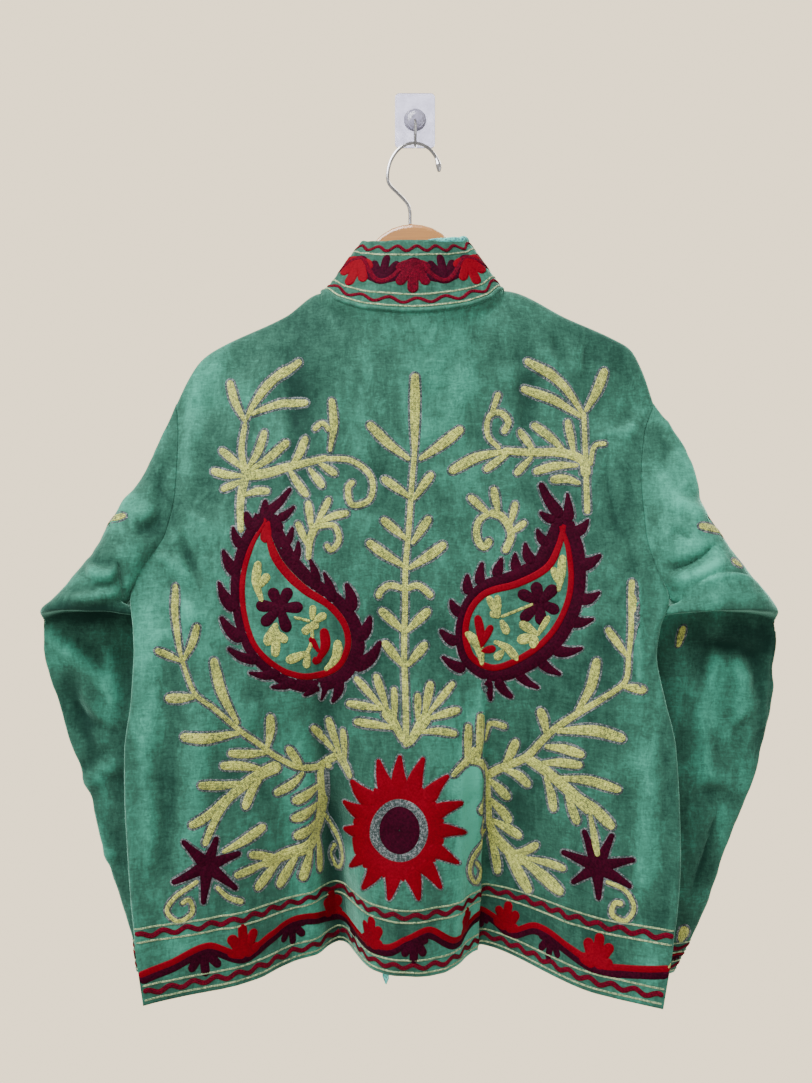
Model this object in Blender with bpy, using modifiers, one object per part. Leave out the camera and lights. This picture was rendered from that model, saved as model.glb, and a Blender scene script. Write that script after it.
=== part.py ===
"""Embroidered velvet jacket, hung by its back on a wooden hanger and a small wall hook.

Metres, +Z up. The wall is the plane y = 0 and the room lies on its -Y side, from where the jacket's back
shows. The origin is the middle of the adhesive plate's back face, which is where the whole thing is held.
Each cloth piece is a wall of even thickness on both sides of a middle surface, which comes from the sizes
and the short tables below. Pieces that are sewn together share the places of their points along the seam.
"""

import bisect
import collections
import math

import bmesh
import bpy
from mathutils import Vector

# Cloth
CLOTH = 0.002            # velvet, its stitching and its backing
SEAM_GAP = 0.0003        # between two pieces that are sewn together
HEM_Z = -0.9445          # back and front hems
TIP_Z = -0.336           # shoulder tip, where the top of the armhole is
UNDERARM_Z = -0.550
VENT_TOP_Z = -0.876      # the bar tack over each side vent
VENT_RUN = 0.030         # over which the side seam opens below the tack
ARMPIT_RUN = 0.030       # over which the rolled side edge flattens out up the armhole
SIDE_ROUND = 0.006       # soft edge of the body at its side seams
SHOULDER_ROUND = 0.0085  # cloth over the hanger, from its middle plane
NECK_LEFT_X = -0.1045
NECK_RIGHT_X = 0.0975
FRONT_EDGE_X = 0.005     # each front's edge stands this far from the middle
FRONT_NECK_Z = -0.300
BACK_NECK_Y = -0.075
FRONT_NECK_Y = -0.0135
YOKE_FALL = 0.090        # height over which the cloth swells out below the shoulder
ROWS_LEVEL = 0.72        # up to this share of the height the rows of points are level
SHORT_ROLL = 0.960       # a rolled edge stops this share of the way round, which leaves the seam's gap
SHOULDER_COS = 0.89      # of the shoulders' slope
BACK_SPAN = 0.55         # widths of the back and of a front, for the places next to their rolled edges
FRONT_SPAN = 0.27
ROW_CLEAR = 0.008        # share of the height kept clear below the shoulders' rolled rows
FRONT_SEAM_RISE = 0.010  # the fronts leave the back's side edge this far above the underarm
FRONT_SEAM_RUN = 0.020   # and over this height

# Stand collar
COLLAR_LEAN = 0.60       # the collar's top is this share as wide as its seam
COLLAR_RISE_SIDE = 0.0465
COLLAR_RISE_BACK = 0.0785
COLLAR_RISE_FRONT = 0.066
COLLAR_SET_BACK = 0.009  # the top edge stands this far behind the seam at the nape
COLLAR_SET_FRONT = -0.003
COLLAR_FOOT = 0.0009     # between its foot and the seam at the nape
COLLAR_FOOT_SIDE = 0.0008  # and this much more at the neck points, where the collar leans over the shoulder

# Loose end of the hem's turn-up
TAB_ACROSS = 0.462
TAB_WIDE = 0.0085
TAB_HIGH = 0.0230
TAB_BELOW = 0.0125
TAB_THICK = 0.0012
TAB_TIP = 0.12           # width of its point, as a share of its own
TAB_SHOULDER = 0.31      # share of its height at which it has its whole width

# Steps of the surfaces
ARMHOLE_STEPS = 11       # points on each half of an armhole
BODY_ROWS = 13           # rows from the hem to the underarm
NECK_STEPS = 14          # across the back neckline
FRONT_NECK_STEPS = 4     # along each front's neckline below its rolled corner
SHOULDER_STEPS = 8       # along each shoulder
LIP_SECTIONS = [0.41, 0.45, 0.48, 0.50, 0.515, 0.53, 0.55, 0.575, 0.60, 0.64]
CORNER_SHIFT = 0.01      # the wall at a neck point faces as it does this far along the shoulder
SLOPE_STEP = 0.0002      # over which a surface's slopes are taken

# Hanger
HANGER_Y = -0.035
HANGER_X = -0.003
HANGER_THICK = 0.010
HANGER_END = 0.003       # the bar's rounded ends
HANGER_END_SHARE = 0.55  # of the bar's section, on its end faces
HANGER_END_CLEAR = 0.004  # between the bar's ends and its next stations
HANGER_DEEP_END = 0.024
HANGER_DEEP_MID = 0.040
HANGER_PEAK_Z = -0.134
HANGER_DROP = 0.0020     # the bar's top lies this far below the middle of the cloth on it
HANGER_HALF = 0.232
HUMP_SLOPE = 0.62        # of the bar beside its hump
HUMP_RUN = 0.020         # over which its top then goes over to the cloth's slope
WIRE = 0.0037
HOOK_BEAD = 0.0031       # radius of the ball at the wire's tip
BEAD_SHAPE = [0.55, 0.92, 1.0, 0.80]  # shares of that radius at the wire's last points, from the tip
HOOK_STEPS = 44
BAR_TOP_ANGLES = [0, 30, 60, 90, 120, 150, 180]
BAR_LOW_ANGLES = [180, 225, 270, 315, 360]
BAR_STEPS = 19           # stations of the bar inside the neck

# Wall hook
PLATE_WIDE = 0.0466
PLATE_HIGH = 0.0637
PLATE_THICK = 0.0016
PLATE_CORNER = 0.005
BOSS_RADIUS = 0.013
BOSS_DEEP = 0.0055
HOOK_WIRE = 0.003
HOOK_STUB = 0.0013       # straight start of the hook's wire at the boss
WALL_HOOK_STEPS = 22
PLATE_EDGE = 0.0003
BOSS_SIDES = 24

# Half outline of the boss: radius and height over the plate
BOSS_PROFILE = [
    (0.0, BOSS_DEEP), (0.0045, BOSS_DEEP), (0.0085, BOSS_DEEP - 0.0008), (0.0115, BOSS_DEEP - 0.0024),
    (BOSS_RADIUS, BOSS_DEEP - 0.0042), (BOSS_RADIUS, 0.0), (0.0, 0.0),
]

# Side edges of the body, by height: x of the back's and of the fronts' edges
Edge = collections.namedtuple("Edge", "z back_left back_right front_left front_right")
EDGES = [
    Edge(-0.9445, -0.2680, 0.2395, -0.2640, 0.2360),
    Edge(-0.900, -0.2760, 0.2490, -0.2750, 0.2480),
    Edge(-0.850, -0.2832, 0.2585, -0.2832, 0.2585),
    Edge(-0.800, -0.2885, 0.2632, -0.2885, 0.2632),
    Edge(-0.750, -0.2930, 0.2640, -0.2930, 0.2640),
    Edge(-0.700, -0.2950, 0.2625, -0.2950, 0.2625),
    Edge(-0.650, -0.2905, 0.2530, -0.2905, 0.2530),
    Edge(-0.610, -0.2900, 0.2468, -0.2900, 0.2468),
    Edge(-0.580, -0.2925, 0.2520, -0.2925, 0.2520),
    Edge(-0.550, -0.2970, 0.2630, -0.2970, 0.2630),
    Edge(-0.520, -0.2860, 0.2520, -0.2790, 0.2470),
    Edge(-0.480, -0.2645, 0.2432, -0.2560, 0.2360),
    Edge(-0.436, -0.2585, 0.2429, -0.2470, 0.2330),
    Edge(-0.376, -0.2606, 0.2505, -0.2520, 0.2440),
    Edge(-0.336, -0.2660, 0.2656, -0.2660, 0.2656),
]

# Depth of the body, by height: y of the back at its side edges and middle, and of the fronts at theirs
Depth = collections.namedtuple("Depth", "z back_left back_mid back_right front_side front_mid")
DEPTHS = [
    Depth(-0.9445, -0.152, -0.062, -0.158, -0.1400, -0.0120),
    Depth(-0.850, -0.144, -0.070, -0.147, -0.1320, -0.0125),
    Depth(-0.750, -0.134, -0.075, -0.134, -0.1220, -0.0130),
    Depth(-0.650, -0.122, -0.078, -0.122, -0.1100, -0.0135),
    Depth(-0.550, -0.105, -0.077, -0.105, -0.0930, -0.0140),
    Depth(-0.520, -0.098, -0.076, -0.098, -0.0620, -0.0140),
    Depth(-0.480, -0.087, -0.074, -0.087, -0.0370, -0.0140),
    Depth(-0.436, -0.073, -0.072, -0.073, -0.0290, -0.0140),
    Depth(-0.376, -0.054, -0.070, -0.054, -0.0265, -0.0135),
    Depth(-0.336, -0.0435, -0.070, -0.0435, -0.0265, -0.0135),
    Depth(-0.240, -0.0435, -0.070, -0.0435, -0.0265, -0.0135),
]
BACK_SWEEP = 1.3         # how the back's depth goes from its middle to its sides
FRONT_SWEEP = 2.0        # and the fronts'

# Folds of the back: place across it, half widths to each side, depth at the hem (+ is towards the wall) and
# height of the top
Fold = collections.namedtuple("Fold", "name across left right depth top")
FOLDS = [
    Fold("valley_left", 0.357, 0.20, 0.09, 0.050, -0.560),
    Fold("lobe", 0.500, 0.10, 0.15, -0.040, -0.600),
    Fold("valley_right", 0.676, 0.10, 0.22, 0.055, -0.540),
]

# Top edge of the back in the picture plane, from shoulder tip to shoulder tip
Top = collections.namedtuple("Top", "name x z")
TOP_LINE = [
    Top("tip_left", -0.2660, -0.3360),
    Top("drop_left", -0.2530, -0.3090),
    Top("end_left", -0.2400, -0.2893),
    Top("arm_left", -0.2250, -0.2775),
    Top("shoulder_left", -0.1445, -0.2388),
    Top("neck_left", -0.1045, -0.2130),
    Top("collar_left", -0.0850, -0.2265),
    Top("nape_left", -0.0500, -0.2385),
    Top("nape", -0.0030, -0.2425),
    Top("nape_right", 0.0440, -0.2375),
    Top("collar_right", 0.0790, -0.2250),
    Top("neck_right", 0.0975, -0.2100),
    Top("shoulder_right", 0.1715, -0.2420),
    Top("arm_right", 0.2250, -0.2660),
    Top("end_right", 0.2400, -0.2755),
    Top("drop_right", 0.2530, -0.2990),
    Top("tip_right", 0.2656, -0.3360),
]

# Sleeve sections, from the armhole to the cuff: along is the place on the sleeve, out is its outer edge, in
# its underarm seam, view and wall are how far its two faces swell from the chord between those
Ring = collections.namedtuple("Ring", "name along out_left out_right out_y out_z in_left in_right in_y in_z "
                                      "view_y view_z wall_y")
RINGS = [
    Ring("armhole", 0.0, -0.266, 0.2656, -0.035, -0.336, -0.2993, 0.2653, -0.099, -0.55, -0.01, 0.0, 0.036),
    Ring("crown", 0.12, -0.2835, 0.296, -0.048, -0.388, -0.3035, 0.2695, -0.096, -0.553, -0.024, 0.0, 0.033),
    Ring("arm", 0.25, -0.3165, 0.3125, -0.064, -0.458, -0.3065, 0.2725, -0.091, -0.556, -0.034, 0.002, 0.03),
    Ring("bicep", 0.36, -0.35, 0.3455, -0.079, -0.514, -0.3085, 0.2745, -0.086, -0.559, -0.04, 0.005, 0.028),
    Ring("brow", 0.45, -0.376, 0.3695, -0.09, -0.553, -0.309, 0.275, -0.081, -0.563, -0.043, 0.009, 0.03),
    Ring("lip", 0.5, -0.3835, 0.3755, -0.091, -0.566, -0.3085, 0.2725, -0.077, -0.57, -0.044, 0.01, 0.032),
    Ring("under", 0.55, -0.387, 0.378, -0.088, -0.579, -0.3035, 0.2635, -0.071, -0.583, -0.004, 0.003, 0.034),
    Ring("elbow", 0.6, -0.3905, 0.382, -0.083, -0.604, -0.285, 0.242, -0.063, -0.604, -0.002, 0.0, 0.034),
    Ring("forearm", 0.68, -0.384, 0.381, -0.072, -0.662, -0.22, 0.205, -0.052, -0.655, -0.008, 0.0, 0.03),
    Ring("middle", 0.77, -0.36, 0.3665, -0.062, -0.747, -0.202, 0.196, -0.046, -0.745, -0.01, 0.0, 0.025),
    Ring("lower", 0.86, -0.337, 0.3385, -0.054, -0.83, -0.192, 0.184, -0.041, -0.835, -0.01, 0.0, 0.02),
    Ring("wrist", 0.95, -0.315, 0.308, -0.048, -0.919, -0.186, 0.17, -0.038, -0.927, -0.01, 0.0, 0.016),
    Ring("cuff", 1.0, -0.3092, 0.2865, -0.044, -0.966, -0.184, 0.162, -0.036, -0.9755, -0.01, 0.0, 0.014),
]
SLEEVE_FULLNESS = 0.80   # below 1 a section is fuller than an ellipse
SLEEVE_FADE = 0.34       # share of the sleeve over which it leaves the armhole's own shape
ARMHOLE_GAP = 0.0006     # between the body's edge and the sleeve's, in x
ARMPIT_GAP = 0.0023      # and at the underarm, where the sleeve's wall lies across the body's side

# Hump of the hanger inside the collar: distance from its middle, drop below its peak
Hump = collections.namedtuple("Hump", "away drop")
HANGER_HUMP = [
    Hump(0.000, 0.0000),
    Hump(0.014, 0.0018),
    Hump(0.028, 0.0075),
    Hump(0.042, 0.0190),
    Hump(0.062, 0.0430),
    Hump(0.080, 0.0665),
    Hump(0.094, 0.0830),
]

# Path of the hanger's wire hook in its plane, from the bar up and over to the tip
HOOK_PATH = [
    (-0.0060, -0.1332), (-0.0060, -0.1270), (-0.0062, -0.1195), (-0.0085, -0.1115), (-0.0190, -0.0998),
    (-0.0290, -0.0895), (-0.0312, -0.0800), (-0.0285, -0.0651), (-0.0217, -0.0530), (-0.0127, -0.0455),
    (-0.0004, -0.0426), (0.0142, -0.0480), (0.0227, -0.0579), (0.0262, -0.0680), (0.0266, -0.0745),
]

# Path of the wall hook's wire in the plane x = 0: depth and height
WALL_HOOK_PATH = [
    (-0.0090, -0.0030), (-0.0125, -0.0055), (-0.0165, -0.0150), (-0.0205, -0.0280), (-0.0262, -0.0405),
    (-0.0345, -0.04625), (-0.0430, -0.0425), (-0.0470, -0.0330), (-0.0478, -0.0265),
]

COLOURS = {
    "velvet": (0.075, 0.300, 0.205, 1.0),
    "border_velvet": (0.090, 0.330, 0.230, 1.0),
    "wood": (0.620, 0.340, 0.150, 1.0),
    "steel": (0.620, 0.620, 0.640, 1.0),
    "clear": (0.700, 0.740, 0.780, 1.0),
}


class Track:
    """A smooth curve through rows that never swings past them. Outside the rows it stays level."""

    def __init__(self, places, values):
        self.places = list(places)
        self.values = list(values)
        steps = [b - a for a, b in zip(self.places, self.places[1:])]
        rises = [(b - a) / step for a, b, step in zip(self.values, self.values[1:], steps)]
        inner = [self.joint_slope(rises[i], rises[i + 1]) for i in range(len(rises) - 1)]
        self.slopes = [rises[0]] + inner + [rises[-1]]

    @staticmethod
    def joint_slope(before, after):
        if before * after <= 0:
            return 0.0
        return 2 * before * after / (before + after)

    def __call__(self, place):
        place = min(max(place, self.places[0]), self.places[-1])
        i = min(max(bisect.bisect_right(self.places, place) - 1, 0), len(self.places) - 2)
        step = self.places[i + 1] - self.places[i]
        t = (place - self.places[i]) / step
        start = (1 + 2 * t) * self.values[i] + t * step * self.slopes[i]
        end = (3 - 2 * t) * self.values[i + 1] - (1 - t) * step * self.slopes[i + 1]
        return start * (1 - t) ** 2 + end * t * t


def column(rows, place, name):
    return Track([getattr(row, place) for row in rows], [getattr(row, name) for row in rows])


EDGE = {name: column(EDGES, "z", name) for name in Edge._fields[1:]}
DEPTH = {name: column(DEPTHS, "z", name) for name in Depth._fields[1:]}
TOP = column(TOP_LINE, "x", "z")
RING = {name: column(RINGS, "along", name) for name in Ring._fields[2:]}
HUMP = column(HANGER_HUMP, "away", "drop")


def ease(t):
    t = min(max(t, 0.0), 1.0)
    return t * t * (3 - 2 * t)


def roll(distance, radius, share=1.0):
    """How far an edge is rolled out of its sheet. The arc turns through this share of a right angle."""
    inside = radius * math.sin(share * math.pi / 2) - distance
    if inside <= 0:
        return 0.0
    return radius - math.sqrt(max(radius ** 2 - inside ** 2, 0.0))


def side_share(z):
    """How far the side edge is rolled: not along the armhole and not in the vent."""
    below_arm = ease((UNDERARM_Z + ARMPIT_RUN - z) / ARMPIT_RUN)
    above_vent = ease((z - (VENT_TOP_Z - VENT_RUN)) / VENT_RUN)
    return below_arm * above_vent


UNDERARM_UP = (UNDERARM_Z - HEM_Z) / (TIP_Z - HEM_Z)


def row_rise(up):
    """How much of the top edge's shape a row of the body has: none at the hem, all at the top."""
    return ease((up - ROWS_LEVEL) / (1 - ROWS_LEVEL))


def neck_share(x):
    """0 on the shoulders and 1 in the middle of the neck."""
    if not NECK_LEFT_X < x < NECK_RIGHT_X:
        return 0.0
    middle = (NECK_LEFT_X + NECK_RIGHT_X) / 2
    half = (NECK_RIGHT_X - NECK_LEFT_X) / 2
    return math.sqrt(max(1 - ((x - middle) / half) ** 2, 0.0))


def fold_depth(across, z):
    total = 0.0
    for fold in FOLDS:
        half = fold.left if across < fold.across else fold.right
        away = abs(across - fold.across) / half
        if away < 1:
            grown = ease((fold.top - z) / (fold.top - HEM_Z))
            total += fold.depth * grown * math.cos(away * math.pi / 2) ** 2
    return total


def back_depth(across, z):
    side = DEPTH["back_left"](z) if across < 0.5 else DEPTH["back_right"](z)
    middle = DEPTH["back_mid"](z)
    return middle + (side - middle) * abs(2 * across - 1) ** BACK_SWEEP + fold_depth(across, z)


def back_point(across, up):
    """A point of the back: across from the left edge to the right, up from the hem to the shoulders."""
    edge_z = HEM_Z + up * (TIP_Z - HEM_Z)
    left = EDGE["back_left"](edge_z)
    right = EDGE["back_right"](edge_z)
    x = left + across * (right - left)
    top_x = EDGE["back_left"](TIP_Z) + across * (EDGE["back_right"](TIP_Z) - EDGE["back_left"](TIP_Z))
    top_z = TOP(top_x)
    z = edge_z + (top_z - TIP_Z) * row_rise(up)
    neck = neck_share(top_x)
    rolled_y = HANGER_Y - SHOULDER_ROUND
    top_y = rolled_y + (BACK_NECK_Y - rolled_y) * neck
    below = top_z - z
    swell = max(1 - below / YOKE_FALL, 0.0) ** 2
    y = back_depth(across, z) + (top_y - back_depth(across, top_z)) * swell
    y += roll(below * SHOULDER_COS, SHOULDER_ROUND) * (1 - neck) ** 2 * SHORT_ROLL
    to_side = min(across, 1 - across) * (right - left)
    y += roll(to_side, SIDE_ROUND, side_share(edge_z)) * SHORT_ROLL
    return Vector((x, y, z))


def front_top(side, x):
    """Height of a front's top edge, share of the neckline's fall, and height of the shoulder above it."""
    neck_x = NECK_LEFT_X if side < 0 else NECK_RIGHT_X
    if side * x >= side * neck_x:
        return TOP(x), 0.0, TOP(x)
    reach = (side * x - FRONT_EDGE_X) / (side * neck_x - FRONT_EDGE_X)
    share = 1 - reach ** 2
    return TOP(neck_x) + (FRONT_NECK_Z - TOP(neck_x)) * share, share, TOP(neck_x)


def front_depth(inward, z):
    middle = DEPTH["front_mid"](z)
    return middle + (DEPTH["front_side"](z) - middle) * (1 - inward) ** FRONT_SWEEP


def front_point(side, inward, up):
    """A point of a front: inward from its side edge, up from the hem. side is -1 for the left, 1 the right."""
    name = "left" if side < 0 else "right"
    edge_z = HEM_Z + up * (TIP_Z - HEM_Z)
    edge_x = EDGE["front_" + name](edge_z)
    x = edge_x + inward * (side * FRONT_EDGE_X - edge_x)
    tip_x = EDGE["front_" + name](TIP_Z)
    top_x = tip_x + inward * (side * FRONT_EDGE_X - tip_x)
    top_z, neck, shoulder_z = front_top(side, top_x)
    z = edge_z + (top_z - TIP_Z) * row_rise(up)
    rolled_y = HANGER_Y + SHOULDER_ROUND
    top_y = rolled_y + (FRONT_NECK_Y - rolled_y) * neck
    below = top_z - z
    swell = max(1 - below / YOKE_FALL, 0.0) ** 2
    side_y = DEPTH["back_" + name](edge_z) + 2 * SIDE_ROUND
    seam_y = side_y - DEPTH["front_side"](edge_z)
    seam_y *= ease((UNDERARM_Z + FRONT_SEAM_RISE - edge_z) / FRONT_SEAM_RUN) * (1 - inward) ** 4
    y = front_depth(inward, z) + seam_y + (top_y - front_depth(inward, top_z)) * swell
    y -= roll((shoulder_z - z) * SHOULDER_COS, SHOULDER_ROUND) * SHORT_ROLL
    to_side = inward * abs(side * FRONT_EDGE_X - edge_x)
    y -= roll(to_side, SIDE_ROUND, side_share(edge_z)) * SHORT_ROLL
    return Vector((x, y, z))


def armhole_point(side, angle):
    """A point of the armhole: angle 0 at the underarm, 180 degrees at the shoulder tip, back edge first."""
    share = (1 - math.cos(angle)) / 2
    up = UNDERARM_UP + (1 - UNDERARM_UP) * share
    if angle <= math.pi:
        point = back_point(0.0 if side < 0 else 1.0, up)
    else:
        point = front_point(side, 0.0, up)
    height = UNDERARM_Z + (TIP_Z - UNDERARM_Z) * share
    gap = ARMHOLE_GAP + (ARMPIT_GAP - ARMHOLE_GAP) * side_share(height)
    return point + Vector((side * gap, 0, 0))


def ring_point(side, along, angle):
    name = "left" if side < 0 else "right"
    outer = Vector((RING["out_" + name](along), RING["out_y"](along), RING["out_z"](along)))
    inner = Vector((RING["in_" + name](along), RING["in_y"](along), RING["in_z"](along)))
    swell = abs(math.sin(angle)) ** SLEEVE_FULLNESS
    if angle <= math.pi:
        bulge = Vector((0, RING["view_y"](along), RING["view_z"](along)))
    else:
        bulge = Vector((0, RING["wall_y"](along), 0))
    return inner + (outer - inner) * (1 - math.cos(angle)) / 2 + bulge * swell


def sleeve_point(side, along, angle):
    """A point of a sleeve: along from the armhole to the cuff, angle round it as on the armhole."""
    angle %= 2 * math.pi
    point = ring_point(side, along, angle)
    if along < SLEEVE_FADE:
        own = armhole_point(side, angle) - ring_point(side, 0.0, angle)
        point += own * (1 - along / SLEEVE_FADE) ** 2
    return point


def collar_seam(place):
    """Seam of the collar with the body, from the left front's edge (-2) by the nape (0) to the right (2)."""
    if abs(place) <= 1:
        x = neck_x(place)
        return back_point(place_of_top(x), 1.0), neck_share(x)
    side = -1 if place < 0 else 1
    reach = front_neck_reach(abs(place) - 1)
    return front_point(side, front_neck_inward(side, reach), 1.0), math.sqrt(max(1 - reach ** 2, 0.0))


def collar_point(place, up):
    """A point of the stand collar: place along its seam, up from 0 to 1."""
    seam, share = collar_seam(place)
    behind = abs(place) <= 1
    rise_middle = COLLAR_RISE_BACK if behind else COLLAR_RISE_FRONT
    rise = COLLAR_RISE_SIDE + (rise_middle - COLLAR_RISE_SIDE) * share
    set_back = (COLLAR_SET_BACK if behind else COLLAR_SET_FRONT) * share
    lean = Vector((seam.x * (COLLAR_LEAN - 1), set_back, rise))
    foot = COLLAR_FOOT + COLLAR_FOOT_SIDE * (1 - share) ** 2
    return seam + lean.normalized() * foot + (lean - lean.normalized() * foot) * up


def clear_scene():
    for obj in list(bpy.data.objects):
        bpy.data.objects.remove(obj, do_unlink=True)


def make_material(name, colour, roughness, metallic=0.0, see_through=0.0):
    material = bpy.data.materials.new(name)
    material.use_nodes = True
    shader = material.node_tree.nodes["Principled BSDF"]
    shader.inputs["Base Color"].default_value = colour
    shader.inputs["Roughness"].default_value = roughness
    shader.inputs["Metallic"].default_value = metallic
    shader.inputs["Transmission Weight"].default_value = see_through
    return material


def add_object(collection, name, data, material):
    obj = bpy.data.objects.new(name, data)
    obj.data.materials.append(material)
    collection.objects.link(obj)
    return obj


def surface_normal(surface, across, up, loop):
    """Unit normal of a surface from its own slopes, one-sided at its edges."""
    left = across - SLOPE_STEP if loop else max(across - SLOPE_STEP, 0.0)
    right = across + SLOPE_STEP if loop else min(across + SLOPE_STEP, 1.0)
    low, high = max(up - SLOPE_STEP, 0.0), min(up + SLOPE_STEP, 1.0)
    run = surface(right, up) - surface(left, up)
    rise = surface(across, high) - surface(across, low)
    return run.cross(rise).normalized()


def add_wall(collection, name, surface, places, heights, material,
             loop=False, half=CLOTH / 2, normal=None):
    """A closed wall on both sides of a surface, through its points at the given places and heights."""
    mesh = bmesh.new()
    faces = []
    for side in (1, -1):
        grid = []
        for up in heights:
            row = []
            for across in places:
                out = normal(across, up) if normal else surface_normal(surface, across, up, loop)
                row.append(mesh.verts.new(surface(across, up) + out * half * side))
            grid.append(row)
        faces.append(grid)
    columns = len(places)
    spans = [(i, (i + 1) % columns) for i in range(columns if loop else columns - 1)]
    outer, inner = faces
    for j in range(len(heights) - 1):
        for i, k in spans:
            mesh.faces.new((outer[j][i], outer[j][k], outer[j + 1][k], outer[j + 1][i]))
            mesh.faces.new((inner[j][i], inner[j + 1][i], inner[j + 1][k], inner[j][k]))
    for i, k in spans:
        mesh.faces.new((outer[0][i], inner[0][i], inner[0][k], outer[0][k]))
        mesh.faces.new((outer[-1][i], outer[-1][k], inner[-1][k], inner[-1][i]))
    if not loop:
        for j in range(len(heights) - 1):
            mesh.faces.new((outer[j][0], outer[j + 1][0], inner[j + 1][0], inner[j][0]))
            mesh.faces.new((outer[j][-1], inner[j][-1], inner[j + 1][-1], outer[j + 1][-1]))
    bmesh.ops.recalc_face_normals(mesh, faces=mesh.faces[:])
    data = bpy.data.meshes.new(name)
    mesh.to_mesh(data)
    mesh.free()
    data.shade_smooth()
    data.set_sharp_from_angle(angle=math.radians(60))
    return add_object(collection, name, data, material)


def spread(count, start=0.0, end=1.0):
    return [start + (end - start) * i / (count - 1) for i in range(count)]


def rolled_edge(radius, span):
    """Places close to an edge at 0 that is rolled over the radius, on a span in metres."""
    return [radius * (1 - math.cos(math.radians(angle))) / span for angle in (0, 32, 62, 90)]


def armhole_shares():
    """Shares of the armhole's height at which the body and the sleeve have their points."""
    return [(1 - math.cos(math.pi * k / ARMHOLE_STEPS)) / 2 for k in range(ARMHOLE_STEPS + 1)]


def body_heights():
    below = spread(BODY_ROWS, 0.0, UNDERARM_UP)
    above = [UNDERARM_UP + (1 - UNDERARM_UP) * share for share in armhole_shares()[1:]]
    close = [1 - place for place in rolled_edge(SHOULDER_ROUND / SHOULDER_COS, TIP_Z - HEM_Z)]
    return below + [place for place in above if place < close[-1] - ROW_CLEAR] + close[::-1]


def place_of_top(x):
    tip_left = EDGE["back_left"](TIP_Z)
    tip_right = EDGE["back_right"](TIP_Z)
    return (x - tip_left) / (tip_right - tip_left)


def neck_x(place):
    """x of the back neckline's stations, closer together towards the neck points. place runs from -1 to 1."""
    middle = (NECK_LEFT_X + NECK_RIGHT_X) / 2
    return middle + (NECK_RIGHT_X - NECK_LEFT_X) / 2 * math.sin(place * math.pi / 2)


def back_places():
    neck = [place_of_top(neck_x(place)) for place in spread(NECK_STEPS + 1, -1.0, 1.0)]
    edge = rolled_edge(SIDE_ROUND, BACK_SPAN)
    left = edge + spread(SHOULDER_STEPS + 1, 0.0, neck[0])[1:-1]
    right = spread(SHOULDER_STEPS + 1, neck[-1], 1.0)[1:-1] + [1 - place for place in edge[::-1]]
    return left + neck + right


def add_back(collection, material):
    corner_left, corner_right = place_of_top(neck_x(-1.0)), place_of_top(neck_x(1.0))

    def normal(across, up):
        shift = {corner_left: -CORNER_SHIFT, corner_right: CORNER_SHIFT}.get(across, 0.0)
        return surface_normal(back_point, across + shift, up, False)

    return add_wall(collection, "back", back_point, back_places(), body_heights(), material, normal=normal)


def front_neck_reach(place):
    """Reach of the front neckline's stations: 1 at the neck point (place 0), 0 in the middle (place 1)."""
    return math.cos(place * math.pi / 2)


def front_neck_inward(side, reach):
    """Where a station of the neckline stands on its front: inward from the side edge."""
    tip_x = EDGE["front_left" if side < 0 else "front_right"](TIP_Z)
    neck_x = NECK_LEFT_X if side < 0 else NECK_RIGHT_X
    x = side * FRONT_EDGE_X + reach * (neck_x - side * FRONT_EDGE_X)
    return (x - tip_x) / (side * FRONT_EDGE_X - tip_x)


def front_neck_places(side):
    """Places along a front's neckline. The first ones are as high as the rolled shoulder's own points."""
    fall = TOP(NECK_LEFT_X if side < 0 else NECK_RIGHT_X) - FRONT_NECK_Z
    levels = rolled_edge(SHOULDER_ROUND / SHOULDER_COS, 1.0)
    corner = [math.asin(math.sqrt(below / fall)) * 2 / math.pi for below in levels]
    return corner + spread(FRONT_NECK_STEPS + 1, corner[-1], 1.0)[1:]


def add_front(collection, side, material):
    falls = [front_neck_inward(side, front_neck_reach(place)) for place in front_neck_places(side)]
    edge = rolled_edge(SIDE_ROUND, FRONT_SPAN)
    places = edge + spread(SHOULDER_STEPS + 1, 0.0, falls[0])[1:-1] + falls

    def surface(inward, up):
        return front_point(side, inward, up)

    def normal(inward, up):
        at_corner = inward == falls[0]
        return surface_normal(surface, inward - CORNER_SHIFT if at_corner else inward, up, False)

    name = "front_left" if side < 0 else "front_right"
    return add_wall(collection, name, surface, places, body_heights(), material, normal=normal)


def add_sleeve(collection, side, material):
    name = "left" if side < 0 else "right"
    sections = spread(6, 0.0, 0.36) + LIP_SECTIONS + spread(6, 0.68, 1.0)
    angles = [math.pi * k / ARMHOLE_STEPS for k in range(2 * ARMHOLE_STEPS)]

    def surface(angle, along):
        return sleeve_point(side, along, angle)

    def normal(angle, along):
        own = surface_normal(surface, angle, along, True)
        if along > 0:
            return own
        share = (1 - math.cos(angle)) / 2
        up = UNDERARM_UP + (1 - UNDERARM_UP) * share
        if angle <= math.pi:
            body = surface_normal(back_point, 0.0 if side < 0 else 1.0, up, False)
        else:
            body = surface_normal(lambda a, b: front_point(side, a, b), 0.0, up, False)
        body *= 1 if body.dot(own) > 0 else -1
        armpit = side_share(UNDERARM_Z + (TIP_Z - UNDERARM_Z) * share)
        return (body * (1 - armpit) + own * armpit).normalized()

    name = "sleeve_" + name
    return add_wall(collection, name, surface, angles, sections, material, loop=True, normal=normal)


def collar_places():
    left = [-1 - place for place in front_neck_places(-1)[:0:-1]]
    right = [1 + place for place in front_neck_places(1)[1:]]
    return left + spread(NECK_STEPS + 1, -1.0, 1.0) + right


def add_collar(collection, material):
    places = [(place + 2) / 4 for place in collar_places()]

    def surface(across, up):
        return collar_point(across * 4 - 2, up)

    return add_wall(collection, "stand_collar", surface, places, spread(5), material)


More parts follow.
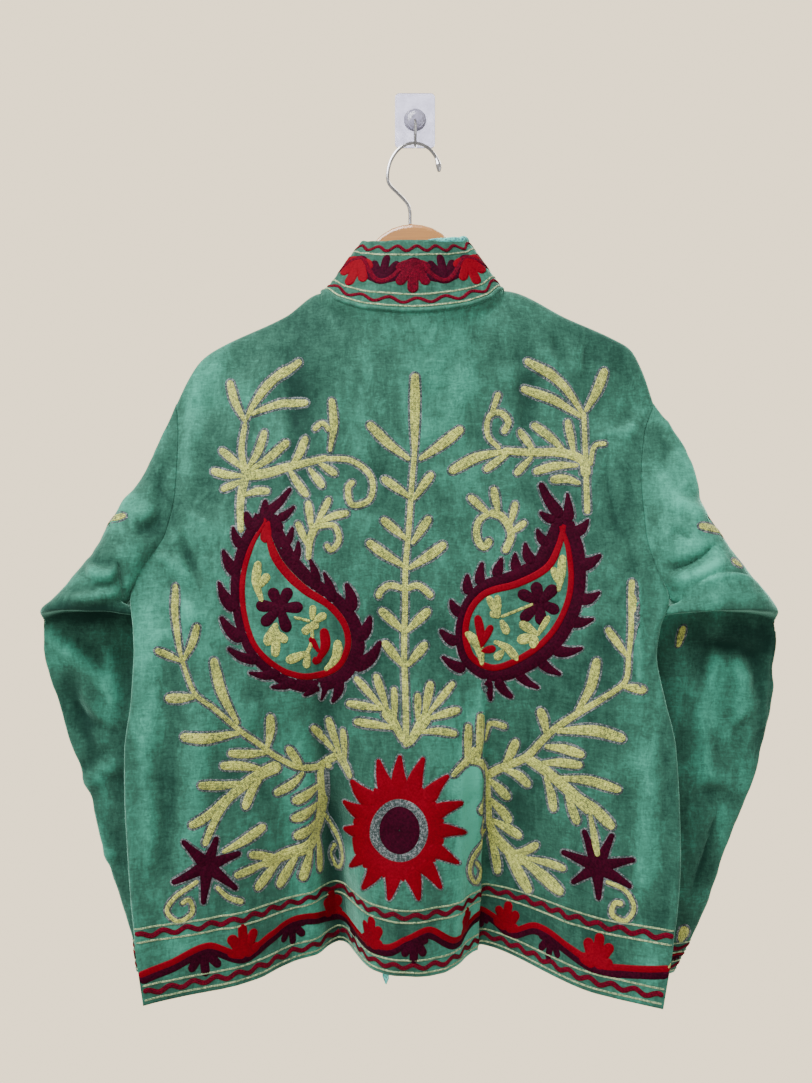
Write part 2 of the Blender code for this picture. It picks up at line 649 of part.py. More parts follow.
def add_hem_tab(collection, material):
    """The pointed end of the hem's turn-up, flat on the wall side of one facet of the back, below its hem."""
    places = back_places()
    heights = body_heights()
    i = min(range(len(places)), key=lambda k: abs(places[k] - TAB_ACROSS))
    low_left, low_right = back_point(places[i], 0.0), back_point(places[i + 1], 0.0)
    rise = (back_point(places[i], heights[1]) - low_left).normalized()
    run = (low_right - low_left).normalized()
    inward = run.cross(rise).normalized()
    inward *= 1 if inward.y > 0 else -1
    middle = (low_left + low_right) / 2 + inward * (CLOTH / 2 + TAB_THICK / 2 + 2 * SEAM_GAP)

    def surface(across, up):
        width = TAB_WIDE * (TAB_TIP + (1 - TAB_TIP) * min(1.0, up / TAB_SHOULDER))
        return middle + run * (across - 0.5) * width + rise * (TAB_HIGH * up - TAB_BELOW)

    heights = [0.0, TAB_SHOULDER, 1.0]
    return add_wall(collection, "hem_tab", surface, [0.0, 1.0], heights, material, half=TAB_THICK / 2)


class Spline(Track):
    """A track whose slope at each row is the chord's between its neighbours, for paths that turn back."""

    def __init__(self, places, values):
        super().__init__(places, values)
        for i in range(1, len(self.places) - 1):
            rise = self.values[i + 1] - self.values[i - 1]
            self.slopes[i] = rise / (self.places[i + 1] - self.places[i - 1])


def smooth_path(points, steps):
    """More points on a smooth curve through a path's own."""
    places = [0.0]
    for a, b in zip(points, points[1:]):
        places.append(places[-1] + math.dist(a, b))
    tracks = [Spline(places, [p[k] for p in points]) for k in range(len(points[0]))]
    return [tuple(track(t) for track in tracks) for t in spread(steps, 0.0, places[-1])]


def add_wire(collection, name, points, radius, material, end_radius=None):
    """A round wire with closed ends. end_radius swells its last points into a bead."""
    data = bpy.data.curves.new(name, "CURVE")
    data.dimensions = "3D"
    data.bevel_depth = radius
    data.bevel_resolution = 2
    data.use_fill_caps = True
    spline = data.splines.new("POLY")
    spline.points.add(len(points) - 1)
    for point, place in zip(spline.points, points):
        point.co = (*place, 1.0)
    if end_radius:
        for back, share in enumerate(BEAD_SHAPE, start=1):
            spline.points[-back].radius = end_radius / radius * share
    return add_object(collection, name, data, material)


def add_outline(collection, name, outline, thickness, middle_y, material, edge):
    """A flat piece that stands in a plane across Y, with its edges rounded."""
    data = bpy.data.curves.new(name, "CURVE")
    data.dimensions = "2D"
    data.fill_mode = "BOTH"
    data.extrude = thickness / 2
    spline = data.splines.new("POLY")
    spline.points.add(len(outline) - 1)
    for point, (x, z) in zip(spline.points, outline):
        point.co = (x, z, 0.0, 1.0)
    spline.use_cyclic_u = True
    obj = add_object(collection, name, data, material)
    obj.rotation_euler = (math.pi / 2, 0.0, 0.0)
    obj.location = (0.0, middle_y, 0.0)
    weld = obj.modifiers.new("Weld", "WELD")
    weld.merge_threshold = 0.00001
    bevel = obj.modifiers.new("Edge", "BEVEL")
    bevel.width = edge
    bevel.segments = 2
    bevel.limit_method = "ANGLE"
    bevel.angle_limit = math.radians(50)
    return obj


def shoulder_stations():
    """x of the cloth's points along both shoulders."""
    left = spread(SHOULDER_STEPS + 1, EDGE["back_left"](TIP_Z), NECK_LEFT_X)
    right = spread(SHOULDER_STEPS + 1, NECK_RIGHT_X, EDGE["back_right"](TIP_Z))
    return left, right


def cloth_top(x):
    """Height of the shoulders' cloth, straight between its points as the wall is."""
    stations = shoulder_stations()[0 if x < 0 else 1]
    i = min(max(bisect.bisect_right(stations, x) - 1, 0), len(stations) - 2)
    share = (x - stations[i]) / (stations[i + 1] - stations[i])
    return TOP(stations[i]) + (TOP(stations[i + 1]) - TOP(stations[i])) * share


def hanger_top(x):
    away = abs(x - HANGER_X)
    inner = HANGER_HUMP[-1].away
    if away <= inner:
        return HANGER_PEAK_Z - HUMP(away)
    on_cloth = cloth_top(x) - HANGER_DROP
    reach = ease((away - inner) / HUMP_RUN)
    hump = HANGER_PEAK_Z - HANGER_HUMP[-1].drop - (away - inner) * HUMP_SLOPE
    return min(on_cloth, hump + (on_cloth - hump) * reach)


def bar_section(x, share=1.0):
    """The bar's outline across its length, with round long edges. share makes it smaller for the ends."""
    half = HANGER_THICK / 2 * share
    inward = 1 - abs(x - HANGER_X) / HANGER_HALF
    deep = HANGER_DEEP_END + (HANGER_DEEP_MID - HANGER_DEEP_END) * inward
    middle = hanger_top(x) - deep / 2
    straight = deep * share / 2 - half
    section = []
    for angles, centre in ((BAR_TOP_ANGLES, middle + straight), (BAR_LOW_ANGLES, middle - straight)):
        for angle in angles:
            across, high = math.cos(math.radians(angle)), math.sin(math.radians(angle))
            section.append(Vector((x, HANGER_Y + half * across, centre + half * high)))
    return section


def add_bar(collection, material):
    left, right = shoulder_stations()
    end_left, end_right = HANGER_X - HANGER_HALF, HANGER_X + HANGER_HALF
    inner = spread(BAR_STEPS, NECK_LEFT_X, NECK_RIGHT_X)
    stations = [end_left] + [x for x in left[:-1] if x > end_left + HANGER_END_CLEAR] + inner
    stations += [x for x in right[1:] if x < end_right - HANGER_END_CLEAR] + [end_right]
    rings = [bar_section(x) for x in stations]
    rings = [bar_section(end_left, HANGER_END_SHARE)] + rings + [bar_section(end_right, HANGER_END_SHARE)]
    for ring, shift in ((rings[0], -HANGER_END), (rings[-1], HANGER_END)):
        for point in ring:
            point.x += shift
    mesh = bmesh.new()
    grid = [[mesh.verts.new(point) for point in ring] for ring in rings]
    around = len(rings[0])
    for low, high in zip(grid, grid[1:]):
        for i in range(around):
            k = (i + 1) % around
            mesh.faces.new((low[i], low[k], high[k], high[i]))
    mesh.faces.new(grid[0])
    mesh.faces.new(grid[-1])
    bmesh.ops.recalc_face_normals(mesh, faces=mesh.faces[:])
    data = bpy.data.meshes.new("hanger_bar")
    mesh.to_mesh(data)
    mesh.free()
    data.shade_smooth()
    data.set_sharp_from_angle(angle=math.radians(50))
    return add_object(collection, "hanger_bar", data, material)


def add_hanger(collection, wood, steel):
    add_bar(collection, wood)
    path = [(x, HANGER_Y, z) for x, z in smooth_path(HOOK_PATH, HOOK_STEPS)]
    foot = max(hanger_top(path[0][0] + shift * WIRE / 2) for shift in (-1, 0, 1)) + SEAM_GAP
    path[0] = (path[0][0], HANGER_Y, foot)
    add_wire(collection, "hanger_hook", path, WIRE / 2, steel, end_radius=HOOK_BEAD)


def rounded_rectangle(wide, high, corner, steps=4):
    points = []
    for turn in range(4):
        sx = 1 if turn in (0, 3) else -1
        sz = 1 if turn in (0, 1) else -1
        for k in range(steps + 1):
            angle = math.pi / 2 * (turn + k / steps)
            x = sx * (wide / 2 - corner) + corner * math.cos(angle)
            points.append((x, sz * (high / 2 - corner) + corner * math.sin(angle)))
    return points


def add_wall_hook(collection, clear, steel):
    outline = rounded_rectangle(PLATE_WIDE, PLATE_HIGH, PLATE_CORNER)
    add_outline(collection, "wall_plate", outline, PLATE_THICK, -PLATE_THICK / 2, clear, PLATE_EDGE)
    mesh = bmesh.new()
    verts = [mesh.verts.new((radius, 0.0, high)) for radius, high in BOSS_PROFILE]
    for a, b in zip(verts, verts[1:]):
        mesh.edges.new((a, b))
    data = bpy.data.meshes.new("hook_boss")
    mesh.to_mesh(data)
    mesh.free()
    boss = add_object(collection, "hook_boss", data, clear)
    boss.rotation_euler = (math.pi / 2, 0.0, 0.0)
    boss.location = (0.0, -PLATE_THICK - SEAM_GAP, 0.0)
    turn = boss.modifiers.new("Turn", "SCREW")
    turn.steps = BOSS_SIDES
    turn.render_steps = BOSS_SIDES
    turn.use_merge_vertices = True
    turn.merge_threshold = 0.0001
    path = [(0.0, y, z) for y, z in smooth_path(WALL_HOOK_PATH, WALL_HOOK_STEPS)]
    path.insert(0, (0.0, path[0][1] + HOOK_STUB, path[0][2]))
    add_wire(collection, "wall_hook", path, HOOK_WIRE / 2, steel)


def main():
    clear_scene()
    collection = bpy.data.collections.new("suzani_jacket")
    bpy.context.scene.collection.children.link(collection)
    velvet = make_material("velvet", COLOURS["velvet"], 0.85)
    border = make_material("border_velvet", COLOURS["border_velvet"], 0.85)
    wood = make_material("wood", COLOURS["wood"], 0.45)
    steel = make_material("steel", COLOURS["steel"], 0.20, metallic=1.0)
    clear = make_material("clear_plastic", COLOURS["clear"], 0.10, see_through=0.8)
    add_back(collection, velvet)
    for side in (-1, 1):
        add_front(collection, side, velvet)
        add_sleeve(collection, side, velvet)
    add_collar(collection, border)
    add_hem_tab(collection, border)
    add_hanger(collection, wood, steel)
    add_wall_hook(collection, clear, steel)


main()
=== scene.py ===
"""Looks of an embroidered velvet jacket that hangs by its back from a wooden hanger and a small wall hook.

Metres, +Z up. The wall is the plane y = 0 and the room lies on its -Y side. Every cloth piece is a thin shell
on the form of its own solid, with listed creases. The embroidery is drawn in flat charts, one for
each part of the cloth, and each chart says where its flat places lie on the cloth. Places that are said to be
in the photograph are in pixels of its 812 x 1083, because the camera stands where the photograph's did.
"""

import collections
import functools
import math

import bpy
import numpy as np
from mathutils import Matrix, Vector

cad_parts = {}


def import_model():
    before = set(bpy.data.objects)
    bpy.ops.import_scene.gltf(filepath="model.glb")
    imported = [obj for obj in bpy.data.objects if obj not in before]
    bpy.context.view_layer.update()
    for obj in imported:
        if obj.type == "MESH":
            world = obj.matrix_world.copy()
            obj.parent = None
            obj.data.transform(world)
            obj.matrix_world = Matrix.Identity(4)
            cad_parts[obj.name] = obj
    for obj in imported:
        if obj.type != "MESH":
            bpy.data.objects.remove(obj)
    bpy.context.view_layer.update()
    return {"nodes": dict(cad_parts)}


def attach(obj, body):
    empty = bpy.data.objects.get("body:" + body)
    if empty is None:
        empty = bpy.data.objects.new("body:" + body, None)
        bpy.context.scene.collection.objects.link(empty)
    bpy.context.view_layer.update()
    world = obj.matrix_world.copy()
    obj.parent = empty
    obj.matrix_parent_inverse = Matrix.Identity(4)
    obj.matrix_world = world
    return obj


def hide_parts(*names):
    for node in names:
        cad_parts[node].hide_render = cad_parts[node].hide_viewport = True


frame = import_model()


def rows_of(kind, tables):
    """Tables of plain rows as rows with names."""
    return {name: [kind(*row) for row in rows] for name, rows in tables.items()}


# Camera: it looks straight at the wall
EYE_X, EYE_Y, EYE_Z = -0.0105, -0.95, -0.490
FOCAL = 815.0            # pixels
MIDDLE_X, MIDDLE_Y = 406.0, 541.5
PICTURE_HIGH = 1083.0
SENSOR = 36.0            # millimetres, along the picture's height
MM = 0.001

# Cloth, as in the solids
CLOTH = 0.002            # velvet, its stitching and its backing
HEM_Z = -0.9445          # back and front hems
TIP_Z = -0.336           # shoulder tip, where the top of the armhole is
BODY_HIGH = TIP_Z - HEM_Z
UNDERARM_Z = -0.550
VENT_TOP_Z = -0.876      # the bar tack over each side vent
VENT_RUN = 0.030         # over which the side seam opens below the tack
ARMPIT_RUN = 0.030       # over which the rolled side edge flattens out up the armhole
SIDE_ROUND = 0.006       # soft edge of the body at its side seams
SHOULDER_ROUND = 0.0085  # cloth over the hanger, from its middle plane
SHOULDER_COS = 0.89      # of the shoulders' slope
NECK_LEFT_X = -0.1045
NECK_RIGHT_X = 0.0975
NECK_MIDDLE = (NECK_LEFT_X + NECK_RIGHT_X) / 2
NECK_HALF = (NECK_RIGHT_X - NECK_LEFT_X) / 2
FRONT_EDGE_X = 0.005     # each front's edge stands this far from the middle
FRONT_NECK_Z = -0.300
BACK_NECK_Y = -0.075
FRONT_NECK_Y = -0.0135
FRONT_SEAM_RISE = 0.010  # the fronts leave the back's side edge this far above the underarm
FRONT_SEAM_RUN = 0.020   # and over this height
YOKE_FALL = 0.090        # height over which the cloth swells out below the shoulder
NECK_SOFT = 0.020        # over which the neck's corners soften below the top edge
ROWS_LEVEL = 0.72        # up to this share of the height the rows of points are level
SHORT_ROLL = 0.960       # a rolled edge stops this share of the way round, which leaves the seam's gap
HANGER_Y = -0.035
BACK_SWEEP = 1.3         # powers with which the back and the fronts curve towards their sides
FRONT_SWEEP = 2.0
COLLAR_LEAN = 0.60       # the collar's top is this share as wide as its seam
COLLAR_RISE_SIDE = 0.0465
COLLAR_RISE_BACK = 0.0785
COLLAR_RISE_FRONT = 0.066
COLLAR_SET_BACK = 0.009  # the top edge stands this far behind the seam at the nape
COLLAR_SET_FRONT = -0.003
COLLAR_FOOT = 0.0009     # between its foot and the seam at the nape
COLLAR_FOOT_SIDE = 0.0008  # and this much more at the neck points
SLEEVE_FULLNESS = 0.80   # power with which a sleeve's sections are round
SLEEVE_FADE = 0.34       # share of a sleeve over which the armhole's shape dies away
ARMHOLE_GAP = 0.0006     # between the body and a sleeve, and between them where the side edges are rolled
ARMPIT_GAP = 0.0023

# Steps of the surfaces
SLOPE_STEP = 0.0006      # over which a surface's slopes are taken
ROLL_TURN = np.radians(np.arange(0, 91, 15))   # round a rolled edge
BACK_SPAN = 0.53         # widths of the back and of a front, for the places next to their rolled edges
FRONT_SPAN = 0.27
BACK_COLUMNS, BACK_ROWS = 150, 230
FRONT_COLUMNS, FRONT_ROWS = 80, 120
FRONT_EDGE_COLUMNS = 4
CORNER_CLEAR = 0.002     # between the columns beside a neck point
SLEEVE_TURNS = 128
SLEEVE_BENDS = (0.0, 0.36, 0.66, 1.0)   # stretches of a sleeve, and the rows in each
SLEEVE_ROWS = (60, 80, 60)
COLLAR_COLUMNS, COLLAR_ROWS = 201, 30
FIND_ROUNDS = 14         # of looking for a place of the photograph on the cloth
FIND_STEP = 1e-4
FIND_MOVE = 0.08         # most that a round moves
FLAT_LIMIT = 1e-6        # least change of area in a round
SAMPLES = 400            # along a band of the cloth, for its length

# Side edges of the body, by height
Edge = collections.namedtuple("Edge", "z back_left back_right front_left front_right")
EDGES = [
    Edge(-0.9445, -0.2680, 0.2395, -0.2640, 0.2360),
    Edge(-0.900, -0.2760, 0.2490, -0.2750, 0.2480),
    Edge(-0.850, -0.2832, 0.2585, -0.2832, 0.2585),
    Edge(-0.800, -0.2885, 0.2632, -0.2885, 0.2632),
    Edge(-0.750, -0.2930, 0.2640, -0.2930, 0.2640),
    Edge(-0.700, -0.2950, 0.2625, -0.2950, 0.2625),
    Edge(-0.650, -0.2905, 0.2530, -0.2905, 0.2530),
    Edge(-0.610, -0.2900, 0.2468, -0.2900, 0.2468),
    Edge(-0.580, -0.2925, 0.2520, -0.2925, 0.2520),
    Edge(-0.550, -0.2970, 0.2630, -0.2970, 0.2630),
    Edge(-0.520, -0.2860, 0.2520, -0.2790, 0.2470),
    Edge(-0.480, -0.2645, 0.2432, -0.2560, 0.2360),
    Edge(-0.436, -0.2585, 0.2429, -0.2470, 0.2330),
    Edge(-0.376, -0.2606, 0.2505, -0.2520, 0.2440),
    Edge(-0.336, -0.2660, 0.2656, -0.2660, 0.2656),
]

# Depth of the body, by height
Depth = collections.namedtuple("Depth", "z back_left back_mid back_right front_side front_mid")
DEPTHS = [
    Depth(-0.9445, -0.152, -0.062, -0.158, -0.1400, -0.0120),
    Depth(-0.850, -0.144, -0.070, -0.147, -0.1320, -0.0125),
    Depth(-0.750, -0.134, -0.075, -0.134, -0.1220, -0.0130),
    Depth(-0.650, -0.122, -0.078, -0.122, -0.1100, -0.0135),
    Depth(-0.550, -0.105, -0.077, -0.105, -0.0930, -0.0140),
    Depth(-0.520, -0.098, -0.076, -0.098, -0.0620, -0.0140),
    Depth(-0.480, -0.087, -0.074, -0.087, -0.0370, -0.0140),
    Depth(-0.436, -0.073, -0.072, -0.073, -0.0290, -0.0140),
    Depth(-0.376, -0.054, -0.070, -0.054, -0.0265, -0.0135),
    Depth(-0.336, -0.0435, -0.070, -0.0435, -0.0265, -0.0135),
    Depth(-0.240, -0.0435, -0.070, -0.0435, -0.0265, -0.0135),
]

# Deep folds of the back's lower half: middle and reach to both sides as shares of the width, depth, top
Fold = collections.namedtuple("Fold", "name across left right depth top")
FOLDS = [
    Fold("valley_left", 0.357, 0.20, 0.09, 0.050, -0.560),
    Fold("lobe", 0.500, 0.10, 0.15, -0.040, -0.600),
    Fold("valley_right", 0.676, 0.10, 0.22, 0.055, -0.540),
]

# Top edge of the back
Top = collections.namedtuple("Top", "name x z")
TOP_LINE = [
    Top("tip_left", -0.2660, -0.3360),
    Top("drop_left", -0.2530, -0.3090),
    Top("end_left", -0.2400, -0.2893),
    Top("arm_left", -0.2250, -0.2775),
    Top("shoulder_left", -0.1445, -0.2388),
    Top("neck_left", -0.1045, -0.2130),
    Top("collar_left", -0.0850, -0.2265),
    Top("nape_left", -0.0500, -0.2385),
    Top("nape", -0.0030, -0.2425),
    Top("nape_right", 0.0440, -0.2375),
    Top("collar_right", 0.0790, -0.2250),
    Top("neck_right", 0.0975, -0.2100),
    Top("shoulder_right", 0.1715, -0.2420),
    Top("arm_right", 0.2250, -0.2660),
    Top("end_right", 0.2400, -0.2755),
    Top("drop_right", 0.2530, -0.2990),
    Top("tip_right", 0.2656, -0.3360),
]

# Sleeve sections, from the armhole to the cuff: along is the place on the sleeve, out is the outer edge, in
# is the underarm seam, view and wall are how far the two faces swell from the chord between them
Ring = collections.namedtuple(
    "Ring", "name along out_left out_right out_y out_z in_left in_right in_y in_z view_y view_z wall_y")
RINGS = [Ring(*row) for row in (
    ("armhole", 0.0, -0.266, 0.2656, -0.035, -0.336, -0.2993, 0.2653, -0.099, -0.55, -0.01, 0.0, 0.036),
    ("crown", 0.12, -0.2835, 0.296, -0.048, -0.388, -0.3035, 0.2695, -0.096, -0.553, -0.024, 0.0, 0.033),
    ("upper", 0.25, -0.3165, 0.3125, -0.064, -0.458, -0.3065, 0.2725, -0.091, -0.556, -0.034, 0.002, 0.03),
    ("bicep", 0.36, -0.35, 0.3455, -0.079, -0.514, -0.3030, 0.2680, -0.086, -0.559, -0.04, 0.005, 0.028),
    ("brow", 0.45, -0.376, 0.3695, -0.09, -0.553, -0.2960, 0.2590, -0.081, -0.563, -0.043, 0.009, 0.03),
    ("lip", 0.5, -0.3890, 0.3755, -0.091, -0.566, -0.2900, 0.2520, -0.077, -0.57, -0.044, 0.01, 0.032),
    ("undercut", 0.55, -0.3925, 0.378, -0.088, -0.579, -0.2850, 0.2440, -0.071, -0.583, -0.004, 0.017, 0.034),
    ("elbow", 0.6, -0.3937, 0.382, -0.083, -0.604, -0.2720, 0.2300, -0.063, -0.604, -0.002, 0.0, 0.034),
    ("forearm", 0.68, -0.384, 0.381, -0.072, -0.662, -0.22, 0.205, -0.052, -0.655, -0.008, 0.0, 0.03),
    ("middle", 0.77, -0.36, 0.3665, -0.062, -0.747, -0.202, 0.196, -0.046, -0.745, -0.01, 0.0, 0.025),
    ("lower", 0.86, -0.337, 0.3385, -0.054, -0.83, -0.192, 0.184, -0.041, -0.835, -0.01, 0.0, 0.02),
    ("wrist", 0.95, -0.315, 0.308, -0.048, -0.919, -0.186, 0.17, -0.038, -0.927, -0.01, 0.0, 0.016),
    ("cuff", 1.0, -0.3092, 0.2865, -0.044, -0.966, -0.184, 0.162, -0.036, -0.9755, -0.01, 0.0, 0.014),
)]

# Creases: two ends in the photograph, how far the middle bows to the left of the way, half width in pixels,
# and height in millimetres (+ stands out). Those of the wall side lie where they would show through it. A
# round one has a soft ridge beside a soft hollow, a sharp one a pressed ridge, and a step falls to its right.
Crease = collections.namedtuple("Crease", "x0 y0 x1 y1 bow wide high kind", defaults=("round",))
CREASES = rows_of(Crease, {
    "back": [
        (487, 620, 468, 1220, 0, 13, 7.6, "step"), (460, 700, 452, 1100, 0, 15, 2.6, "sharp"),
        (312, 600, 365, 1240, 0, 12, -3.4, "sharp"), (294, 680, 326, 1180, 0, 15, 4.4),
        (350, 700, 384, 1180, 0, 18, 2.6), (284, 318, 289, 486, 2, 15, 2.4, "step"),
        (262, 350, 256, 430, -3, 12, 1.6), (205, 345, 186, 520, -8, 13, 2.4),
        (172, 505, 213, 526, -2, 6, 2.2, "sharp"), (172, 530, 190, 572, -3, 6, 2.0),
        (182, 528, 202, 585, -4, 6, -1.8), (146, 548, 196, 588, 4, 7, 2.2),
        (150, 600, 210, 640, -5, 9, -1.6), (190, 590, 182, 665, 3, 8, 1.4),
        (174, 640, 156, 920, 6, 15, -2.6), (205, 700, 192, 860, -4, 18, 1.6),
        (250, 690, 236, 760, 3, 14, 1.2), (140, 700, 150, 900, 2, 9, 1.6),
        (510, 345, 522, 470, 4, 15, 2.2, "step"), (537, 344, 556, 380, 2, 6, 1.6),
        (577, 332, 580, 380, -2, 6, 1.8), (548, 330, 566, 366, 2, 5, -1.2),
        (600, 350, 622, 420, -4, 10, 1.4), (652, 388, 626, 442, 3, 6, 2.6, "sharp"),
        (640, 400, 606, 436, 3, 6, -1.8), (588, 440, 646, 428, 3, 5, 2.4, "sharp"),
        (606, 452, 622, 540, -3, 6, -3.2, "sharp"), (620, 520, 637, 590, 3, 6, -2.8, "sharp"),
        (636, 556, 641, 730, 0, 5, 3.0, "sharp"), (650, 600, 662, 690, -3, 6, -1.6),
        (668, 612, 648, 636, 2, 5, 1.8), (672, 640, 650, 668, 2, 5, -1.6),
        (600, 620, 616, 680, 3, 12, -1.6), (655, 700, 648, 930, -5, 13, 2.6),
        (632, 760, 622, 900, 4, 13, -1.8), (590, 700, 560, 780, 5, 14, 1.4),
        (300, 330, 330, 470, 4, 18, 1.2), (470, 345, 452, 470, -5, 16, 1.4),
        (420, 330, 418, 470, 4, 22, 1.2), (430, 520, 440, 640, 4, 16, 1.2),
        (380, 560, 388, 690, -4, 16, -1.0), (232, 880, 205, 950, 3, 10, -1.4),
        (560, 900, 590, 975, -3, 11, 1.4), (402, 900, 396, 1080, 3, 20, -1.4),
    ],
    "front": [
        (330, 740, 344, 1300, 0, 30, 3.0), (474, 740, 470, 1300, 0, 30, 2.4),
        (200, 420, 240, 700, 12, 16, 3.0), (250, 640, 190, 900, -10, 18, -3.0),
        (330, 420, 345, 620, 6, 14, 2.0), (300, 620, 330, 900, 8, 16, 2.6),
        (600, 420, 560, 690, -14, 17, 3.2), (640, 600, 600, 880, 8, 15, -2.6),
        (480, 560, 500, 800, -8, 18, 2.4), (440, 430, 470, 520, 3, 12, -1.8),
        (205, 540, 260, 560, 4, 8, 2.4), (640, 545, 590, 570, 4, 8, 2.0),
    ],
    "sleeve_left": [
        (84, 566, 120, 570, -7, 7, 3.6), (116, 556, 123, 602, 2, 5, -3.4, "sharp"),
        (130, 530, 170, 518, -4, 9, -2.6), (60, 600, 126, 590, -3, 6, 2.6),
        (108, 470, 132, 516, 3, 10, 0.9), (150, 480, 96, 548, -6, 10, 1.2),
        (178, 440, 160, 540, -5, 8, -2.2), (50, 640, 118, 700, 6, 8, 3.2), (70, 668, 100, 760, -6, 9, -2.6),
        (104, 640, 116, 720, 4, 8, 2.4), (70, 700, 122, 736, -4, 7, -2.6), (80, 790, 130, 760, 5, 8, 2.6),
        (92, 800, 120, 880, -5, 9, 2.4), (100, 880, 128, 860, 4, 7, -1.8),
    ],
    "sleeve_right": [
        (659, 571, 724, 534, -8, 6, -4.2, "sharp"), (664, 580, 730, 556, -6, 7, 2.8),
        (694, 587, 762, 584, 12, 5, 4.6, "step"), (668, 532, 694, 541, 3, 5, -3.0, "sharp"),
        (672, 500, 706, 522, 3, 8, 2.4), (654, 470, 676, 520, 5, 9, 2.2), (648, 420, 668, 470, 4, 8, -2.2),
        (664, 404, 667, 436, 1, 5, 2.6, "sharp"), (690, 452, 704, 500, 4, 9, 1.8),
        (690, 640, 765, 660, 4, 8, -2.6), (735, 640, 760, 720, -5, 8, 2.8),
        (700, 670, 712, 790, -4, 9, 2.6), (726, 700, 735, 800, 5, 8, -2.4),
        (690, 790, 742, 805, 5, 8, -2.0), (719, 796, 686, 908, 3, 5, -2.6, "sharp"),
        (746, 664, 730, 712, 4, 6, 2.0), (712, 640, 700, 700, -3, 7, -1.8),
        (752, 700, 720, 752, -4, 6, 2.2), (772, 620, 762, 760, -2, 4, 2.0, "sharp"),
    ],
    "sleeve_left_wall": [
        (70, 560, 150, 590, -5, 9, 3.0), (60, 650, 130, 690, 7, 9, -2.6), (90, 760, 150, 730, -5, 9, 2.6),
        (160, 440, 120, 540, 6, 12, 2.4), (90, 820, 130, 890, 4, 9, 2.0),
    ],
    "sleeve_right_wall": [
        (665, 570, 760, 590, 5, 9, -3.0), (690, 650, 760, 690, -6, 9, 2.8),
        (680, 740, 740, 770, 5, 8, -2.2), (650, 450, 700, 540, 7, 12, 2.2),
        (690, 820, 720, 890, -4, 9, 2.0),
    ],
})
CREASE_FADE = 0.30       # share of a crease over which each end dies away
CREASE_SHARE = 1.65      # of the heights above
STEP_STEEP = 3.2         # a step's fall
STEP_BELOW = 0.35        # depth on the side that it falls to
SHARP_STEEP = 1.5
HOLLOW_DEEP = 0.45       # of the soft hollow beside a round ridge, and its place in half widths
HOLLOW_ASIDE = 1.7

# Shares of a piece over which its creases die away towards its seams
SIDE_FADE = 0.03
TOP_FADE = 0.05
ARMHOLE_FADE = 0.10
COLLAR_FOOT_FADE = 0.2
COLLAR_END_FADE = 0.05
VIEW_BLEND = 0.9         # how fast a sleeve's creases of the view side give way to those of the wall side

# The cloth's uneven swells: sizes and heights in millimetres, cells of their grid, and each piece's seed
SWELLS = ((46.0, 1.70), (21.0, 0.95), (10.5, 0.42))
SWELL_CELLS = 96
SWELL_SLANT_X = 0.7      # how far they lean sideways and down with the cloth's depth
SWELL_SLANT_Z = 0.2
COLLAR_SWELL = 0.7       # share of them that the collar has
SEEDS = {"back": 10, "front": 20, "sleeve_left": 29, "sleeve_right": 31, "collar": 40}

# Where the velvet is painted lighter (+) or darker (-), with half width and half height, in the photograph:
# partly its laid or crushed nap, partly painted light and shade, as on lit tops and beside creases
Patch = collections.namedtuple("Patch", "x y wide high tone")
NAP_AND_SHADE_PATCHES = rows_of(Patch, {
    "back": [
        (198, 392, 34, 52, 0.8), (262, 425, 20, 45, 0.7), (300, 415, 15, 66, -1.1),
        (330, 320, 60, 20, -0.3), (360, 400, 26, 60, 0.3), (470, 405, 26, 62, 0.8),
        (527, 400, 20, 62, -0.9), (600, 345, 50, 22, -0.3), (628, 500, 20, 60, -0.8),
        (185, 615, 40, 55, 0.7), (150, 760, 26, 110, 1.1), (240, 700, 40, 40, -0.4),
        (270, 830, 40, 60, -0.2), (338, 800, 14, 110, -0.9), (330, 560, 25, 50, -0.4),
        # (470, 810) and (520, 800) are painted light and painted shade on the two sides of the step crease
        (466, 560, 22, 55, 0.9), (470, 810, 12, 110, 1.3), (520, 800, 32, 120, -0.9),
        (590, 770, 40, 70, -0.5), (610, 620, 24, 60, -0.6), (660, 820, 14, 120, -0.6),
        (600, 930, 60, 30, -0.4), (415, 950, 40, 22, 0.4), (185, 950, 50, 30, 0.3),
    ],
    "front": [
        (250, 500, 60, 60, 0.5), (350, 700, 70, 90, -0.5), (560, 520, 60, 70, 0.6),
        (480, 800, 60, 80, -0.4), (620, 700, 40, 90, 0.4), (200, 820, 50, 80, -0.3),
    ],
    "sleeve_left": [
        # (90, 614) is a painted shadow under the elbow fold, and the dark patches down the forearm are
        # painted shade
        (112, 505, 30, 40, 0.4), (140, 533, 26, 16, -0.8), (85, 582, 40, 12, 0.7), (90, 614, 70, 13, -2.8),
        (95, 690, 30, 60, -1.0), (70, 800, 26, 90, -0.9), (112, 880, 26, 60, -0.7), (106, 700, 9, 50, 1.2),
        (78, 730, 10, 40, 0.8), (104, 800, 9, 40, 0.9), (60, 650, 12, 24, 0.6),
    ],
    "sleeve_right": [
        # (744, 636) is a painted shadow under the elbow fold, and the dark patches down the forearm are
        # painted shade
        (684, 480, 24, 44, 1.5), (700, 556, 40, 22, 1.3), (740, 598, 32, 10, 0.8), (744, 636, 54, 20, -2.6),
        (762, 700, 10, 60, -1.3), (714, 690, 9, 60, 1.7), (729, 742, 11, 32, 1.6), (742, 778, 9, 24, 1.0),
        (700, 770, 12, 30, 0.9), (700, 850, 12, 40, -0.7), (724, 830, 8, 40, 0.8), (694, 925, 20, 40, 0.5),
    ],
})
# Ridges are painted lighter as rubbed nap, and crease hollows are painted darker as shade
RIDGE_RUB_AND_HOLLOW_SHADE = 0.26            # lighter per millimetre that a crease stands out, darker per one that it sinks
RIDGE_RUB_AND_HOLLOW_SHADE_LIMITS = (-1.6, 1.2)


